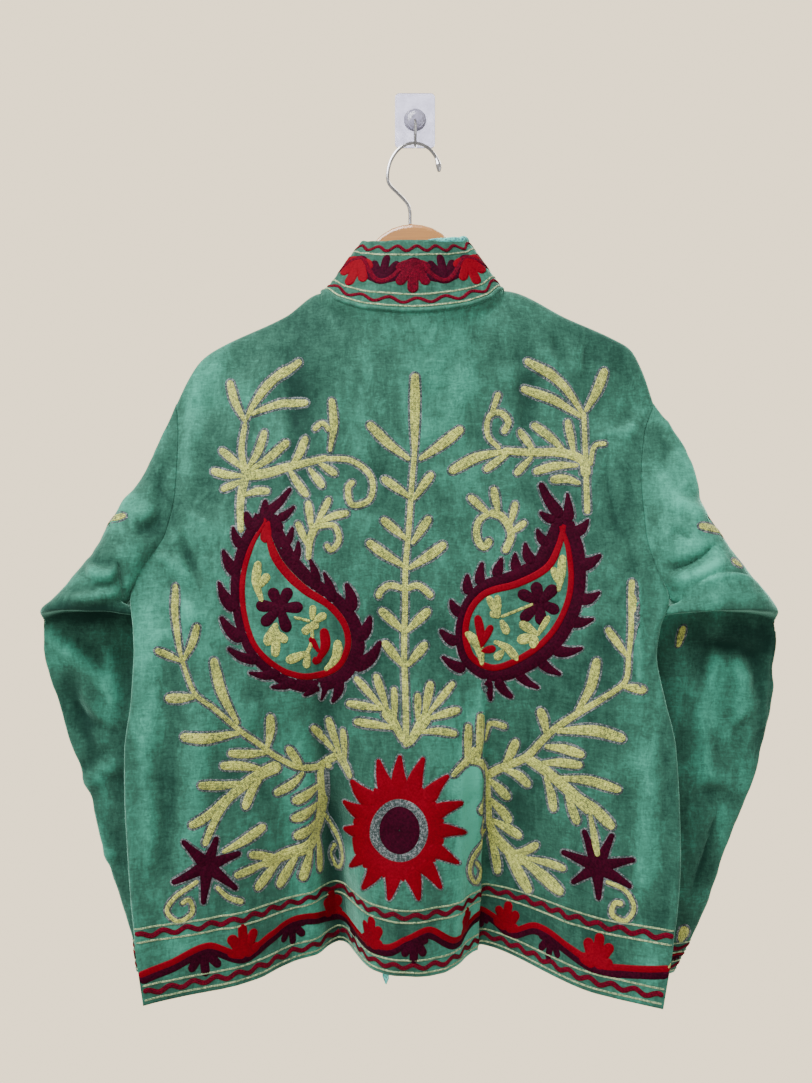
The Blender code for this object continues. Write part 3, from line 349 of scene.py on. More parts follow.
class Track:
    """A smooth curve through (place, value) rows that never swings past them and is level outside them."""

    def __init__(self, places, values):
        self.places = np.array(places, float)
        self.values = np.array(values, float)
        rises = np.diff(self.values) / np.diff(self.places)
        same_way = rises[:-1] * rises[1:] > 0
        total = np.where(same_way, rises[:-1] + rises[1:], 1.0)
        inner = np.where(same_way, 2 * rises[:-1] * rises[1:] / total, 0.0)
        self.slopes = np.concatenate([rises[:1], inner, rises[-1:]])

    def __call__(self, place):
        place = np.clip(place, self.places[0], self.places[-1])
        i = np.clip(np.searchsorted(self.places, place, side="right") - 1, 0, len(self.places) - 2)
        step = self.places[i + 1] - self.places[i]
        t = (place - self.places[i]) / step
        start = (1 + 2 * t) * self.values[i] + t * step * self.slopes[i]
        end = (3 - 2 * t) * self.values[i + 1] - (1 - t) * step * self.slopes[i + 1]
        return start * (1 - t) ** 2 + end * t * t


def column(rows, place, name):
    return Track([getattr(row, place) for row in rows], [getattr(row, name) for row in rows])


EDGE = {name: column(EDGES, "z", name) for name in Edge._fields[1:]}
DEPTH = {name: column(DEPTHS, "z", name) for name in Depth._fields[1:]}
TOP = column(TOP_LINE, "x", "z")
RING = {name: column(RINGS, "along", name) for name in Ring._fields[2:]}
TIP_LEFT, TIP_RIGHT = EDGE["back_left"](TIP_Z), EDGE["back_right"](TIP_Z)
UNDERARM_UP = (UNDERARM_Z - HEM_Z) / BODY_HIGH
SIDE_NAME = {-1: "left", 1: "right"}


def ease(t):
    t = np.clip(t, 0.0, 1.0)
    return t * t * (3 - 2 * t)


def unit(vectors):
    return vectors / np.maximum(np.linalg.norm(vectors, axis=-1, keepdims=True), 1e-12)


def lengths_along(points):
    """How far each of a line's points is from its start, along the line."""
    return np.concatenate([[0], np.cumsum(np.linalg.norm(np.diff(points, axis=0), axis=1))])


def paired(first, second):
    """Two numbers, or arrays of them, as floats of one shape."""
    return np.broadcast_arrays(np.asarray(first, float), np.asarray(second, float))


def roll(distance, radius, share=1.0):
    """How far an edge has rolled over at a distance from it. share is how much of the way round it goes."""
    inside = np.maximum(radius * np.sin(share * np.pi / 2) - distance, 0.0)
    return radius - np.sqrt(np.maximum(radius ** 2 - inside ** 2, 0.0))


def side_share(z):
    """How far a side edge is rolled at a height: whole between the armpit and the vent."""
    below_arm = ease((UNDERARM_Z + ARMPIT_RUN - z) / ARMPIT_RUN)
    above_vent = ease((z - (VENT_TOP_Z - VENT_RUN)) / VENT_RUN)
    return below_arm * above_vent


def row_rise(up):
    return ease((up - ROWS_LEVEL) / (1 - ROWS_LEVEL))


def neck_share(x):
    return np.sqrt(np.maximum(1 - ((x - NECK_MIDDLE) / NECK_HALF) ** 2, 0.0))


def back_depth(across, z):
    side = np.where(across < 0.5, DEPTH["back_left"](z), DEPTH["back_right"](z))
    middle = DEPTH["back_mid"](z)
    total = middle + (side - middle) * np.abs(2 * across - 1) ** BACK_SWEEP
    for fold in FOLDS:
        half = np.where(across < fold.across, fold.left, fold.right)
        away = np.minimum(np.abs(across - fold.across) / half, 1.0)
        grown = ease((fold.top - z) / (fold.top - HEM_Z))
        total = total + fold.depth * grown * np.cos(away * np.pi / 2) ** 2
    return total


def back_form(across, up):
    """The back's middle surface: across from its left edge to its right, up from the hem to the shoulders."""
    across, up = paired(across, up)
    edge_z = HEM_Z + up * BODY_HIGH
    left = EDGE["back_left"](edge_z)
    right = EDGE["back_right"](edge_z)
    x = left + across * (right - left)
    top_x = TIP_LEFT + across * (TIP_RIGHT - TIP_LEFT)
    top_z = TOP(top_x)
    z = edge_z + (top_z - TIP_Z) * row_rise(up)
    neck = neck_share(top_x)
    rolled_y = HANGER_Y - SHOULDER_ROUND
    below = top_z - z
    top_y = rolled_y + (BACK_NECK_Y - rolled_y) * (neck + (neck ** 2 - neck) * ease(below / NECK_SOFT))
    swell = np.maximum(1 - below / YOKE_FALL, 0.0) ** 2
    y = back_depth(across, z) + (top_y - back_depth(across, top_z)) * swell
    y = y + roll(below * SHOULDER_COS, SHOULDER_ROUND) * (1 - neck) ** 2 * SHORT_ROLL
    to_side = np.minimum(across, 1 - across) * (right - left)
    y = y + roll(to_side, SIDE_ROUND, side_share(edge_z)) * SHORT_ROLL
    return np.stack([x, y, z], axis=-1)


def front_top(side, x):
    neck_x = NECK_LEFT_X if side < 0 else NECK_RIGHT_X
    reach = np.clip((side * x - FRONT_EDGE_X) / (side * neck_x - FRONT_EDGE_X), 0.0, 1.0)
    on_neck = side * x < side * neck_x
    share = np.where(on_neck, 1 - reach ** 2, 0.0)
    top_z = np.where(on_neck, TOP(neck_x) + (FRONT_NECK_Z - TOP(neck_x)) * share, TOP(x))
    shoulder_z = np.where(on_neck, TOP(neck_x), TOP(x))
    return top_z, share, shoulder_z


def front_depth(inward, z):
    middle = DEPTH["front_mid"](z)
    return middle + (DEPTH["front_side"](z) - middle) * (1 - inward) ** FRONT_SWEEP


def front_form(side, inward, up):
    """A front's middle surface: inward from its side edge, up from the hem."""
    inward, up = paired(inward, up)
    name = SIDE_NAME[side]
    edge_z = HEM_Z + up * BODY_HIGH
    edge_x = EDGE["front_" + name](edge_z)
    x = edge_x + inward * (side * FRONT_EDGE_X - edge_x)
    tip_x = EDGE["front_" + name](TIP_Z)
    top_z, neck, shoulder_z = front_top(side, tip_x + inward * (side * FRONT_EDGE_X - tip_x))
    z = edge_z + (top_z - TIP_Z) * row_rise(up)
    rolled_y = HANGER_Y + SHOULDER_ROUND
    top_y = rolled_y + (FRONT_NECK_Y - rolled_y) * neck
    swell = np.maximum(1 - (top_z - z) / YOKE_FALL, 0.0) ** 2
    side_y = DEPTH["back_" + name](edge_z) + 2 * SIDE_ROUND
    seam_y = side_y - DEPTH["front_side"](edge_z)
    seam_y = seam_y * ease((UNDERARM_Z + FRONT_SEAM_RISE - edge_z) / FRONT_SEAM_RUN)
    level = front_depth(inward, z) + seam_y * (1 - inward) ** 4
    y = level + (top_y - front_depth(inward, top_z)) * swell
    y = y - roll((shoulder_z - z) * SHOULDER_COS, SHOULDER_ROUND) * SHORT_ROLL
    to_side = inward * np.abs(side * FRONT_EDGE_X - edge_x)
    y = y - roll(to_side, SIDE_ROUND, side_share(edge_z)) * SHORT_ROLL
    return np.stack([x, y, z], axis=-1)


def armhole(side, angle):
    """A sleeve's edge at the armhole: over the view side, then back over the wall side."""
    share = (1 - np.cos(angle)) / 2
    up = UNDERARM_UP + (1 - UNDERARM_UP) * share
    behind = back_form(0.0 if side < 0 else 1.0, up)
    before = front_form(side, 0.0, up)
    point = np.where((angle <= np.pi)[..., None], behind, before)
    height = UNDERARM_Z + (TIP_Z - UNDERARM_Z) * share
    gap = ARMHOLE_GAP + (ARMPIT_GAP - ARMHOLE_GAP) * side_share(height)
    return point + np.stack([side * gap, gap * 0, gap * 0], axis=-1)


def ring_form(side, along, angle):
    name = SIDE_NAME[side]
    outer = np.stack([RING["out_" + name](along), RING["out_y"](along), RING["out_z"](along)], axis=-1)
    inner = np.stack([RING["in_" + name](along), RING["in_y"](along), RING["in_z"](along)], axis=-1)
    swell = np.abs(np.sin(angle)) ** SLEEVE_FULLNESS
    behind = angle <= np.pi
    bulge_y = np.where(behind, RING["view_y"](along), RING["wall_y"](along)) * swell
    bulge_z = np.where(behind, RING["view_z"](along), 0.0) * swell
    bulge = np.stack([bulge_y * 0, bulge_y, bulge_z], axis=-1)
    return inner + (outer - inner) * ((1 - np.cos(angle)) / 2)[..., None] + bulge


def sleeve_form(side, turn, along):
    """A sleeve's middle surface: turn goes from the underarm round by the view side, along to the cuff."""
    turn, along = paired(turn, along)
    angle = (turn % 1.0) * 2 * np.pi
    own = armhole(side, angle) - ring_form(side, angle * 0, angle)
    fade = np.maximum(1 - along / SLEEVE_FADE, 0.0) ** 2
    return ring_form(side, along, angle) + own * fade[..., None]


def collar_form(place, up):
    """The stand collar's middle surface: place goes from the left front's edge by the nape to the right's."""
    place, up = paired(place, up)
    place = place * 4 - 2
    neck_x = NECK_MIDDLE + NECK_HALF * np.sin(np.clip(place, -1, 1) * np.pi / 2)
    behind = np.abs(place) <= 1
    seam = back_form((neck_x - TIP_LEFT) / (TIP_RIGHT - TIP_LEFT), np.ones_like(place))
    share = neck_share(neck_x)
    reach = np.cos((np.clip(np.abs(place), 1, 2) - 1) * np.pi / 2)
    for side in (-1, 1):
        tip_x = EDGE["front_" + SIDE_NAME[side]](TIP_Z)
        corner_x = NECK_LEFT_X if side < 0 else NECK_RIGHT_X
        x = side * FRONT_EDGE_X + reach * (corner_x - side * FRONT_EDGE_X)
        inward = (x - tip_x) / (side * FRONT_EDGE_X - tip_x)
        here = side * place > 1
        seam = np.where(here[..., None], front_form(side, inward, np.ones_like(place)), seam)
        share = np.where(here, np.sqrt(np.maximum(1 - reach ** 2, 0.0)), share)
    rise = np.where(behind, COLLAR_RISE_BACK, COLLAR_RISE_FRONT)
    rise = COLLAR_RISE_SIDE + (rise - COLLAR_RISE_SIDE) * share
    set_back = np.where(behind, COLLAR_SET_BACK, COLLAR_SET_FRONT) * share
    lean = np.stack([seam[..., 0] * (COLLAR_LEAN - 1), set_back, rise], axis=-1)
    foot = unit(lean) * (COLLAR_FOOT + COLLAR_FOOT_SIDE * (1 - share) ** 2)[..., None]
    return seam + foot + (lean - foot) * up[..., None]


def project(points):
    """Where points show in the photograph."""
    away = points[..., 1] - EYE_Y
    across = MIDDLE_X + (points[..., 0] - EYE_X) * FOCAL / away
    down = MIDDLE_Y - (points[..., 2] - EYE_Z) * FOCAL / away
    return np.stack([across, down], axis=-1)


def crease_shape(kind, aside):
    if kind == "step":
        fall = -np.tanh(STEP_STEEP * aside) * np.exp(-np.abs(aside))
        return fall * np.where(aside > 0, STEP_BELOW, 1.0)
    if kind == "sharp":
        return np.exp(-SHARP_STEEP * np.abs(aside))
    return np.exp(-aside ** 2) - HOLLOW_DEEP * np.exp(-(aside - HOLLOW_ASIDE) ** 2)


def crease_height(name, places):
    """How far the creases lift the cloth at places in the photograph, in metres."""
    total = np.zeros(places.shape[:-1])
    for crease in CREASES[name]:
        start = np.array([crease.x0, crease.y0], float)
        run = np.array([crease.x1, crease.y1], float) - start
        length = np.linalg.norm(run)
        ahead = (places - start) @ run / length ** 2
        aside = (places - start) @ np.array([run[1], -run[0]]) / length
        aside = (aside - crease.bow * 4 * ahead * (1 - ahead)) / crease.wide
        fade = ease(ahead / CREASE_FADE) * ease((1 - ahead) / CREASE_FADE)
        total = total + crease.high * CREASE_SHARE * MM * fade * crease_shape(crease.kind, aside)
    return total


def swells(name, points):
    """Smooth uneven swells of the cloth in a few sizes, in metres, the same in every run."""
    x, y, z = np.moveaxis(points, -1, 0)
    flat = np.stack([x + SWELL_SLANT_X * y, z - SWELL_SLANT_Z * y], axis=-1) / MM
    total = np.zeros(flat.shape[:-1])
    for number, (size, high) in enumerate(SWELLS):
        draws = np.random.default_rng(SEEDS[name] + number)
        grid = draws.uniform(-1, 1, (SWELL_CELLS, SWELL_CELLS))
        cell = flat / size
        corner = np.floor(cell).astype(int)
        across, up = np.moveaxis(ease(cell - corner), -1, 0)
        left, low = np.moveaxis(corner % SWELL_CELLS, -1, 0)
        right, top = np.moveaxis((corner + 1) % SWELL_CELLS, -1, 0)
        near = grid[left, low] * (1 - up) + grid[left, top] * up
        far = grid[right, low] * (1 - up) + grid[right, top] * up
        total = total + high * MM * (near * (1 - across) + far * across)
    return total


def nap_and_shade_at(name, places):
    """How light the velvet's nap lies, with painted light and shade, at places in the photograph."""
    total = np.zeros(places.shape[:-1])
    for patch in NAP_AND_SHADE_PATCHES.get(name, []):
        off = (places - [patch.x, patch.y]) / [patch.wide, patch.high]
        total = total + patch.tone * np.exp(-(off ** 2).sum(axis=-1))
    return total


def body_creases(name, across, up, points):
    height = crease_height(name, project(points)) + swells(name, points)
    return height * ease(np.minimum(across, 1 - across) / SIDE_FADE) * ease((1 - up) / TOP_FADE)


def sleeve_creases(name, turn, along, points):
    on_view_side = ease(0.5 + VIEW_BLEND * np.sin((turn % 1.0) * 2 * np.pi))
    places = project(points)
    view, wall = crease_height(name, places), crease_height(name + "_wall", places)
    height = view * on_view_side + wall * (1 - on_view_side)
    return (height + swells(name, points)) * ease(along / ARMHOLE_FADE)


def collar_creases(name, place, up, points):
    ends = ease(np.minimum(place, 1 - place) / COLLAR_END_FADE)
    return swells(name, points) * COLLAR_SWELL * ease(up / COLLAR_FOOT_FADE) * ends


class Cloth:
    """One cloth piece: its middle surface with its creases, and the way its outer side faces."""

    def __init__(self, name, form, facing, creases=None, loop=False):
        self.name = name
        self.form = form
        self.facing = facing
        self.creases = creases
        self.loop = loop

    def normals(self, surface, across, up):
        left, right = across - SLOPE_STEP, across + SLOPE_STEP
        if not self.loop:
            left, right = np.maximum(left, 0.0), np.minimum(right, 1.0)
        low, high = np.maximum(up - SLOPE_STEP, 0.0), np.minimum(up + SLOPE_STEP, 1.0)
        run = surface(right, up) - surface(left, up)
        rise = surface(across, high) - surface(across, low)
        return unit(np.cross(run, rise) * self.facing)

    def creased(self, across, up):
        points = self.form(across, up)
        if self.creases is None:
            return points
        lift = self.creases(self.name, across, up, points)
        return points + self.normals(self.form, across, up) * lift[..., None]

    def place(self, across, up, lift):
        """Points that stand a lift above the cloth's middle surface."""
        across, up = paired(across, up)
        normal = self.normals(self.creased, across, up)
        return self.creased(across, up) + normal * np.asarray(lift)[..., None]

    def find(self, targets, across, up):
        """The places on the cloth that show at the targets in the photograph, from a first guess."""
        for _ in range(FIND_ROUNDS):
            here = project(self.form(across, up))
            by_across = (project(self.form(across + FIND_STEP, up)) - here) / FIND_STEP
            by_up = (project(self.form(across, up + FIND_STEP)) - here) / FIND_STEP
            miss = targets - here
            area = by_across[..., 0] * by_up[..., 1] - by_across[..., 1] * by_up[..., 0]
            area = np.where(np.abs(area) < FLAT_LIMIT, FLAT_LIMIT, area)
            move_across = (miss[..., 0] * by_up[..., 1] - miss[..., 1] * by_up[..., 0]) / area
            move_up = (miss[..., 1] * by_across[..., 0] - miss[..., 0] * by_across[..., 1]) / area
            across = across + np.clip(move_across, -FIND_MOVE, FIND_MOVE)
            up = np.clip(up + np.clip(move_up, -FIND_MOVE, FIND_MOVE), 0.0, 1.0)
            if not self.loop:
                across = np.clip(across, 0.0, 1.0)
        return across, up


BACK = Cloth("back", back_form, 1, body_creases)
FRONT = {side: Cloth("front", functools.partial(front_form, side), side, body_creases) for side in (-1, 1)}
SLEEVE = {side: Cloth("sleeve_" + SIDE_NAME[side], functools.partial(sleeve_form, side), -side,
                      sleeve_creases, loop=True) for side in (-1, 1)}
COLLAR = Cloth("collar", collar_form, 1, collar_creases)


def side_places(span, count):
    """Places beside a piece's rolled side edge, and even ones from there to as far from its other edge."""
    edge = SIDE_ROUND * (1 - np.cos(ROLL_TURN)) / span
    return edge, np.linspace(edge[-1], 1 - edge[-1], count)


def back_places():
    edge, middle = side_places(BACK_SPAN, BACK_COLUMNS)
    corners = (np.array([NECK_LEFT_X, NECK_RIGHT_X]) - TIP_LEFT) / (TIP_RIGHT - TIP_LEFT)
    near = np.concatenate([corners + shift for shift in (-CORNER_CLEAR, 0.0, CORNER_CLEAR)])
    return np.unique(np.concatenate([edge, middle, 1 - edge, near]))


def front_places():
    edge, middle = side_places(FRONT_SPAN, FRONT_COLUMNS)
    return np.unique(np.concatenate([edge, middle, np.linspace(middle[-1], 1.0, FRONT_EDGE_COLUMNS)]))


def body_heights(count):
    close = 1 - SHOULDER_ROUND / SHOULDER_COS * (1 - np.cos(ROLL_TURN)) / BODY_HIGH
    return np.concatenate([np.linspace(0.0, close[-1], count), close[:-1][::-1]])


def make_mesh(name, points, faces, uvs, material):
    mesh = bpy.data.meshes.new(name)
    mesh.from_pydata(points.tolist(), [], faces.tolist())
    layer = mesh.uv_layers.new(name="UVMap")
    corners = np.empty(len(mesh.loops), np.int32)
    mesh.loops.foreach_get("vertex_index", corners)
    layer.data.foreach_set("uv", uvs[corners].astype(np.float32).ravel())
    mesh.shade_smooth()
    obj = bpy.data.objects.new(name, mesh)
    obj.data.materials.append(material)
    bpy.context.scene.collection.objects.link(obj)
    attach(obj, "root")
    return obj


def grid_faces(rows, columns, loop=False, start=0, turned=False):
    """Faces of a grid of points, row by row."""
    index = np.arange(rows * columns).reshape(rows, columns) + start
    if loop:
        index = np.concatenate([index, index[:, :1]], axis=1)
    quads = np.stack([index[:-1, :-1], index[:-1, 1:], index[1:, 1:], index[1:, :-1]], axis=-1).reshape(-1, 4)
    return quads[:, ::-1] if turned else quads


def add_shell(name, cloth, places, heights, material, half=CLOTH / 2):
    """A closed thin wall on both sides of a cloth piece's middle surface."""
    across, up = np.meshgrid(places, heights)
    rows, columns = across.shape
    outer = cloth.place(across, up, np.full(across.shape, half))
    inner = cloth.place(across, up, np.full(across.shape, -half))
    points = np.concatenate([outer.reshape(-1, 3), inner.reshape(-1, 3)])
    turned = cloth.facing < 0
    count = rows * columns
    faces = [grid_faces(rows, columns, cloth.loop, 0, turned),
             grid_faces(rows, columns, cloth.loop, count, not turned)]
    index = np.arange(count).reshape(rows, columns)
    rims = [(index[0], False), (index[-1], True)]
    if cloth.loop:
        rims = [(np.append(rim, rim[0]), way) for rim, way in rims]
    else:
        rims += [(index[:, 0], True), (index[:, -1], False)]
    for rim, way in rims:
        strip = np.stack([rim[1:], rim[:-1], rim[:-1] + count, rim[1:] + count], axis=-1)
        faces.append(strip[:, ::-1] if way != turned else strip)
    lengths = np.linalg.norm(np.diff(outer, axis=1), axis=-1).mean(axis=0)
    widths = np.linalg.norm(np.diff(outer, axis=0), axis=-1).mean(axis=1)
    u = np.tile(np.concatenate([[0], np.cumsum(lengths)]), (rows, 1))
    v = np.tile(np.concatenate([[0], np.cumsum(widths)])[:, None], (1, columns))
    uvs = np.tile(np.stack([u, v], axis=-1).reshape(-1, 2), (2, 1))
    obj = make_mesh(name, points, np.concatenate(faces), uvs, material)
    # Nap tones with painted light and shade: from the patches, and from the creases, painted darker in their
    # hollows
    nap_and_shade_tones = nap_and_shade_at(cloth.name, project(outer))
    if cloth.creases is not None:
        lift = cloth.creases(cloth.name, across, up, cloth.form(across, up)) / MM
        nap_and_shade_tones = nap_and_shade_tones + np.clip(lift * RIDGE_RUB_AND_HOLLOW_SHADE, *RIDGE_RUB_AND_HOLLOW_SHADE_LIMITS)
    layer = obj.data.attributes.new("pile", "FLOAT", "POINT")
    layer.data.foreach_set("value", np.tile(nap_and_shade_tones.ravel(), 2).astype(np.float32))
    return obj


class Path:
    """A smooth flat curve through a few points."""

    def __init__(self, points):
        self.points = np.array(points, float)
        self.gaps = np.linalg.norm(np.diff(self.points, axis=0), axis=1)
        self.places = np.concatenate([[0.0], np.cumsum(self.gaps)])
        self.length = self.places[-1]
        self.slopes = np.empty_like(self.points)
        spans = self.places[2:] - self.places[:-2]
        self.slopes[1:-1] = (self.points[2:] - self.points[:-2]) / spans[:, None]
        self.slopes[0] = (self.points[1] - self.points[0]) / self.gaps[0]
        self.slopes[-1] = (self.points[-1] - self.points[-2]) / self.gaps[-1]

    def at(self, s):
        """Points at distances along the curve. Past its ends it runs straight on."""
        i = np.clip(np.searchsorted(self.places, s, side="right") - 1, 0, len(self.points) - 2)
        step = self.gaps[i][:, None]
        t = (s - self.places[i])[:, None] / step
        t_in = np.clip(t, 0.0, 1.0)
        start = (1 + 2 * t_in) * self.points[i] + t_in * step * self.slopes[i]
        end = (3 - 2 * t_in) * self.points[i + 1] - (1 - t_in) * step * self.slopes[i + 1]
        inside = start * (1 - t_in) ** 2 + end * t_in ** 2
        beyond = np.where(t < 0, self.slopes[0], self.slopes[-1]) * (t - t_in) * step
        return inside + beyond


# Cross-section of a line of thread: share of its half width, and share of its height
CROWN = [(-1.0, -0.5), (-0.90, 0.58), (-0.55, 0.94), (0.0, 1.0), (0.55, 0.94), (0.90, 0.58), (1.0, -0.5)]
FLAT = [(-1.0, -0.5), (-0.8, 0.85), (0.0, 1.0), (0.8, 0.85), (1.0, -0.5)]
END_TURN = 1 - np.cos(np.radians([0.0, 25.0, 50.0, 72.0]))   # places round a line's end
END_SHARE = 0.45         # most of a line's length that a rounded end takes
END_LEAST = 0.0004       # square of the share of its width that it starts with
LINE_STEP = 2.2          # millimetres
LAYER_STEP = 0.00002     # between lines of one colour that cross, which lie on this many levels
LAYERS = 9


class Thread:
    """All the embroidery of one colour in one chart. A unit of the chart has unit_mm millimetres."""

    def __init__(self, height, section, unit_mm):
        self.height = height
        self.section = section
        self.unit_mm = unit_mm
        self.grids = []

    def line(self, points, halves, grow=0.0, step=LINE_STEP):
        """A line of thread through points, with its half widths spread evenly along it and rounded ends."""
        path = Path(points)
        step = step / self.unit_mm
        halves = np.array(halves, float) + grow
        first = min(halves[0], path.length * END_SHARE + grow)
        last = min(halves[-1], path.length * END_SHARE + grow)
        low, high = -grow, path.length + grow
        count = max(int((high - last - low - first) / step) + 1, 3)
        s = np.concatenate([low + END_TURN * first, np.linspace(low + first, high - last, count),
                            (high - END_TURN * last)[::-1]])
        middle = path.at(s)
        half = np.interp(s / path.length, np.linspace(0, 1, len(halves)), halves)
        half *= np.sqrt(np.clip(1 - (1 - np.minimum((s - low) / first, 1)) ** 2, END_LEAST, 1))
        half *= np.sqrt(np.clip(1 - (1 - np.minimum((high - s) / last, 1)) ** 2, END_LEAST, 1))
        self.ribbon(middle, unit(np.gradient(middle, axis=0)), half, s)

    def ribbon(self, middle, ahead, half, s):
        side = np.stack([-ahead[:, 1], ahead[:, 0]], axis=1)
        shares = np.array([share for share, _ in self.section])
        heights = np.array([height for _, height in self.section]) * self.height
        flat = middle[:, None] + side[:, None] * (half[:, None] * shares)[..., None]
        lift = np.tile(heights, (len(s), 1)) + LAYER_STEP * (len(self.grids) % LAYERS)
        along = np.tile(s[:, None], (1, len(shares)))
        uvs = np.stack([half[:, None] * shares, along], axis=-1) * self.unit_mm
        self.grids.append((flat, lift, uvs))

    def area(self, flat, lift, uvs):
        self.grids.append((flat, lift * self.height, uvs * self.unit_mm))

    def build(self, name, chart, material):
        flat = np.concatenate([grid[0].reshape(-1, 2) for grid in self.grids])
        lift = np.concatenate([grid[1].ravel() for grid in self.grids])
        uvs = np.concatenate([grid[2].reshape(-1, 2) for grid in self.grids]) * MM
        faces, start = [], 0
        for grid in self.grids:
            rows, columns = grid[1].shape
            faces.append(grid_faces(rows, columns, start=start))
            start += rows * columns
        obj = make_mesh(name, chart(flat, lift), np.concatenate(faces), uvs, material)
        return obj


# First guesses of where a place of the photograph lies on the cloth
GUESS_Y = -0.085
GUESS_SIDE = 0.02        # share of the back kept clear of its sides
GUESS_TURN = 0.25
GUESS_TOP, GUESS_LONG = 400, 560   # a sleeve's top and length in the photograph
GUESS_LIMITS = (0.05, 0.97)        # shares of a sleeve
PATCH_STEP = 0.01        # share of a cloth over which it is measured beside a place
CUFF_LONG = 0.86         # share of a sleeve that a metre along it has


def picture_chart(cloth, guess):
    """A chart in the photograph's pixels, on the cloth that shows there."""
    def chart(flat, lift):
        across, up = cloth.find(flat, *guess(flat))
        return cloth.place(across, up, CLOTH / 2 + lift)
    return chart


def guess_back(flat):
    away = GUESS_Y - EYE_Y
    x = EYE_X + (flat[:, 0] - MIDDLE_X) / FOCAL * away
    z = EYE_Z - (flat[:, 1] - MIDDLE_Y) / FOCAL * away
    left, right = EDGE["back_left"](z), EDGE["back_right"](z)
    across = np.clip((x - left) / (right - left), GUESS_SIDE, 1 - GUESS_SIDE)
    return across, np.clip((z - HEM_Z) / BODY_HIGH, 0.0, GUESS_LIMITS[1])


def guess_sleeve(flat):
    return np.full(len(flat), GUESS_TURN), np.clip((flat[:, 1] - GUESS_TOP) / GUESS_LONG, *GUESS_LIMITS)


def strip_chart(cloth, row, measure_up):
    """A chart in metres along the cloth at a row, and up from its edge. Also gives the row's length."""
    dense = np.linspace(0.0, 1.0, SAMPLES)
    length = lengths_along(cloth.form(dense, np.full(SAMPLES, row)))

    def chart(flat, lift):
        return cloth.place(np.interp(flat[:, 0], length, dense), measure_up(flat[:, 1]), CLOTH / 2 + lift)
    return chart, length[-1]


def patch_chart(cloth, across, up, turned=1.0):
    """A chart in metres round one place on the cloth: to the right as seen from outside, and up."""
    here = cloth.form(np.array([across]), np.array([up]))
    wide = np.linalg.norm(cloth.form(np.array([across + PATCH_STEP]), np.array([up])) - here) / PATCH_STEP
    high = np.linalg.norm(cloth.form(np.array([across]), np.array([up + PATCH_STEP])) - here) / PATCH_STEP

    def chart(flat, lift):
        place = np.clip(up + turned * flat[:, 1] / high, 0.0, 1.0)
        aside = across + cloth.facing * turned * flat[:, 0] / wide
        return cloth.place(aside if cloth.loop else np.clip(aside, 0.0, 1.0), place, CLOTH / 2 + lift)
    return chart


def body_up(height):
    return np.clip(height / BODY_HIGH, 0.0, 1.0)


def cuff_up(height):
    return 1 - np.clip(height * CUFF_LONG, 0.0, 1.0)


# Materials

def put(tree, made, inputs):
    """Sets sockets of a node to values, or links them to other sockets."""
    for key, value in inputs.items():
        socket = made.inputs[key]
        if isinstance(value, bpy.types.NodeSocket):
            tree.links.new(value, socket)
        else:
            socket.default_value = value


def node(tree, kind, inputs, **settings):
    made = tree.nodes.new(kind)
    for name, value in settings.items():
        setattr(made, name, value)
    put(tree, made, inputs)
    return made


def maths(tree, operation, *values):
    return node(tree, "ShaderNodeMath", dict(enumerate(values)), operation=operation).outputs[0]


def noise(tree, kind, scale, detail=3.0, rough=0.55, distortion=0.0):
    """Noise on coordinates of the object or of its flat UVs, stretched by a scale."""
    where = node(tree, "ShaderNodeTexCoord", {}).outputs[kind]
    where = node(tree, "ShaderNodeMapping", {"Vector": where, "Scale": scale}).outputs["Vector"]
    inputs = {"Vector": where, "Scale": 1.0, "Detail": detail, "Roughness": rough, "Distortion": distortion}
    return node(tree, "ShaderNodeTexNoise", inputs).outputs["Fac"]


def ramp(tree, fac, stops):
    """Colours along a value, from rows of place, red, green and blue."""
    made = node(tree, "ShaderNodeValToRGB", {"Fac": fac})
    elements = made.color_ramp.elements
    while len(elements) < len(stops):
        elements.new(0.5)
    for element, (place, red, green, blue) in zip(elements, stops):
        element.position = place
        element.color = (red, green, blue, 1.0)
    return made.outputs["Color"]


def bump(tree, height, strength, distance, **more):
    inputs = {"Height": height, "Strength": strength, "Distance": distance, **more}
    return node(tree, "ShaderNodeBump", inputs).outputs["Normal"]


def new_material(name):
    material = bpy.data.materials.new(name)
    material.use_nodes = True
    return material, material.node_tree


def dress(material, looks):
    """Sets or links the sockets of a material's shader."""
    put(material.node_tree, material.node_tree.nodes["Principled BSDF"], looks)
    return material


def velvet_material(name, stops):
    """Cotton velvet: cloudy where the nap is laid or crushed, with short crinkles and a soft grain; a mesh
    attribute adds painted light and shade.
    """
    material, tree = new_material(name)
    pile = node(tree, "ShaderNodeAttribute", {}, attribute_name="pile").outputs["Fac"]
    clouds = noise(tree, "Object", (9.0, 9.0, 6.0), 4.0, 0.60, 0.5)
    streaks = noise(tree, "Object", (46.0, 46.0, 22.0), 4.0, 0.62, 1.0)
    upright = noise(tree, "Object", (210.0, 210.0, 62.0), 4.0, 0.62, 1.2)
    level = noise(tree, "Object", (66.0, 66.0, 240.0), 4.0, 0.62, 1.4)
    crinkle = maths(tree, "MULTIPLY", maths(tree, "ADD", upright, level), 0.5)
    grain = noise(tree, "Object", (430.0, 430.0, 430.0), 3.0, 0.6)
    # the attribute's share brings in the painted light and shade
    tone = -0.58
    for part, share in ((pile, 0.180), (clouds, 0.66), (streaks, 0.46), (crinkle, 0.74), (grain, 0.26)):
        tone = maths(tree, "MULTIPLY_ADD", part, share, tone)
    relief = maths(tree, "MULTIPLY_ADD", crinkle, 0.7, maths(tree, "MULTIPLY", streaks, 0.5))
    rough_normal = bump(tree, relief, 0.5, 0.0030)
    return dress(material, {
        "Base Color": ramp(tree, tone, stops),
        "Normal": bump(tree, grain, 0.35, 0.0006, Normal=rough_normal),
        "Roughness": 0.80,
        "Sheen Weight": 0.70,
        "Sheen Roughness": 0.38,
        "Sheen Tint": (0.42, 0.95, 0.74, 1.0),
        "Specular IOR Level": 0.12,
    })


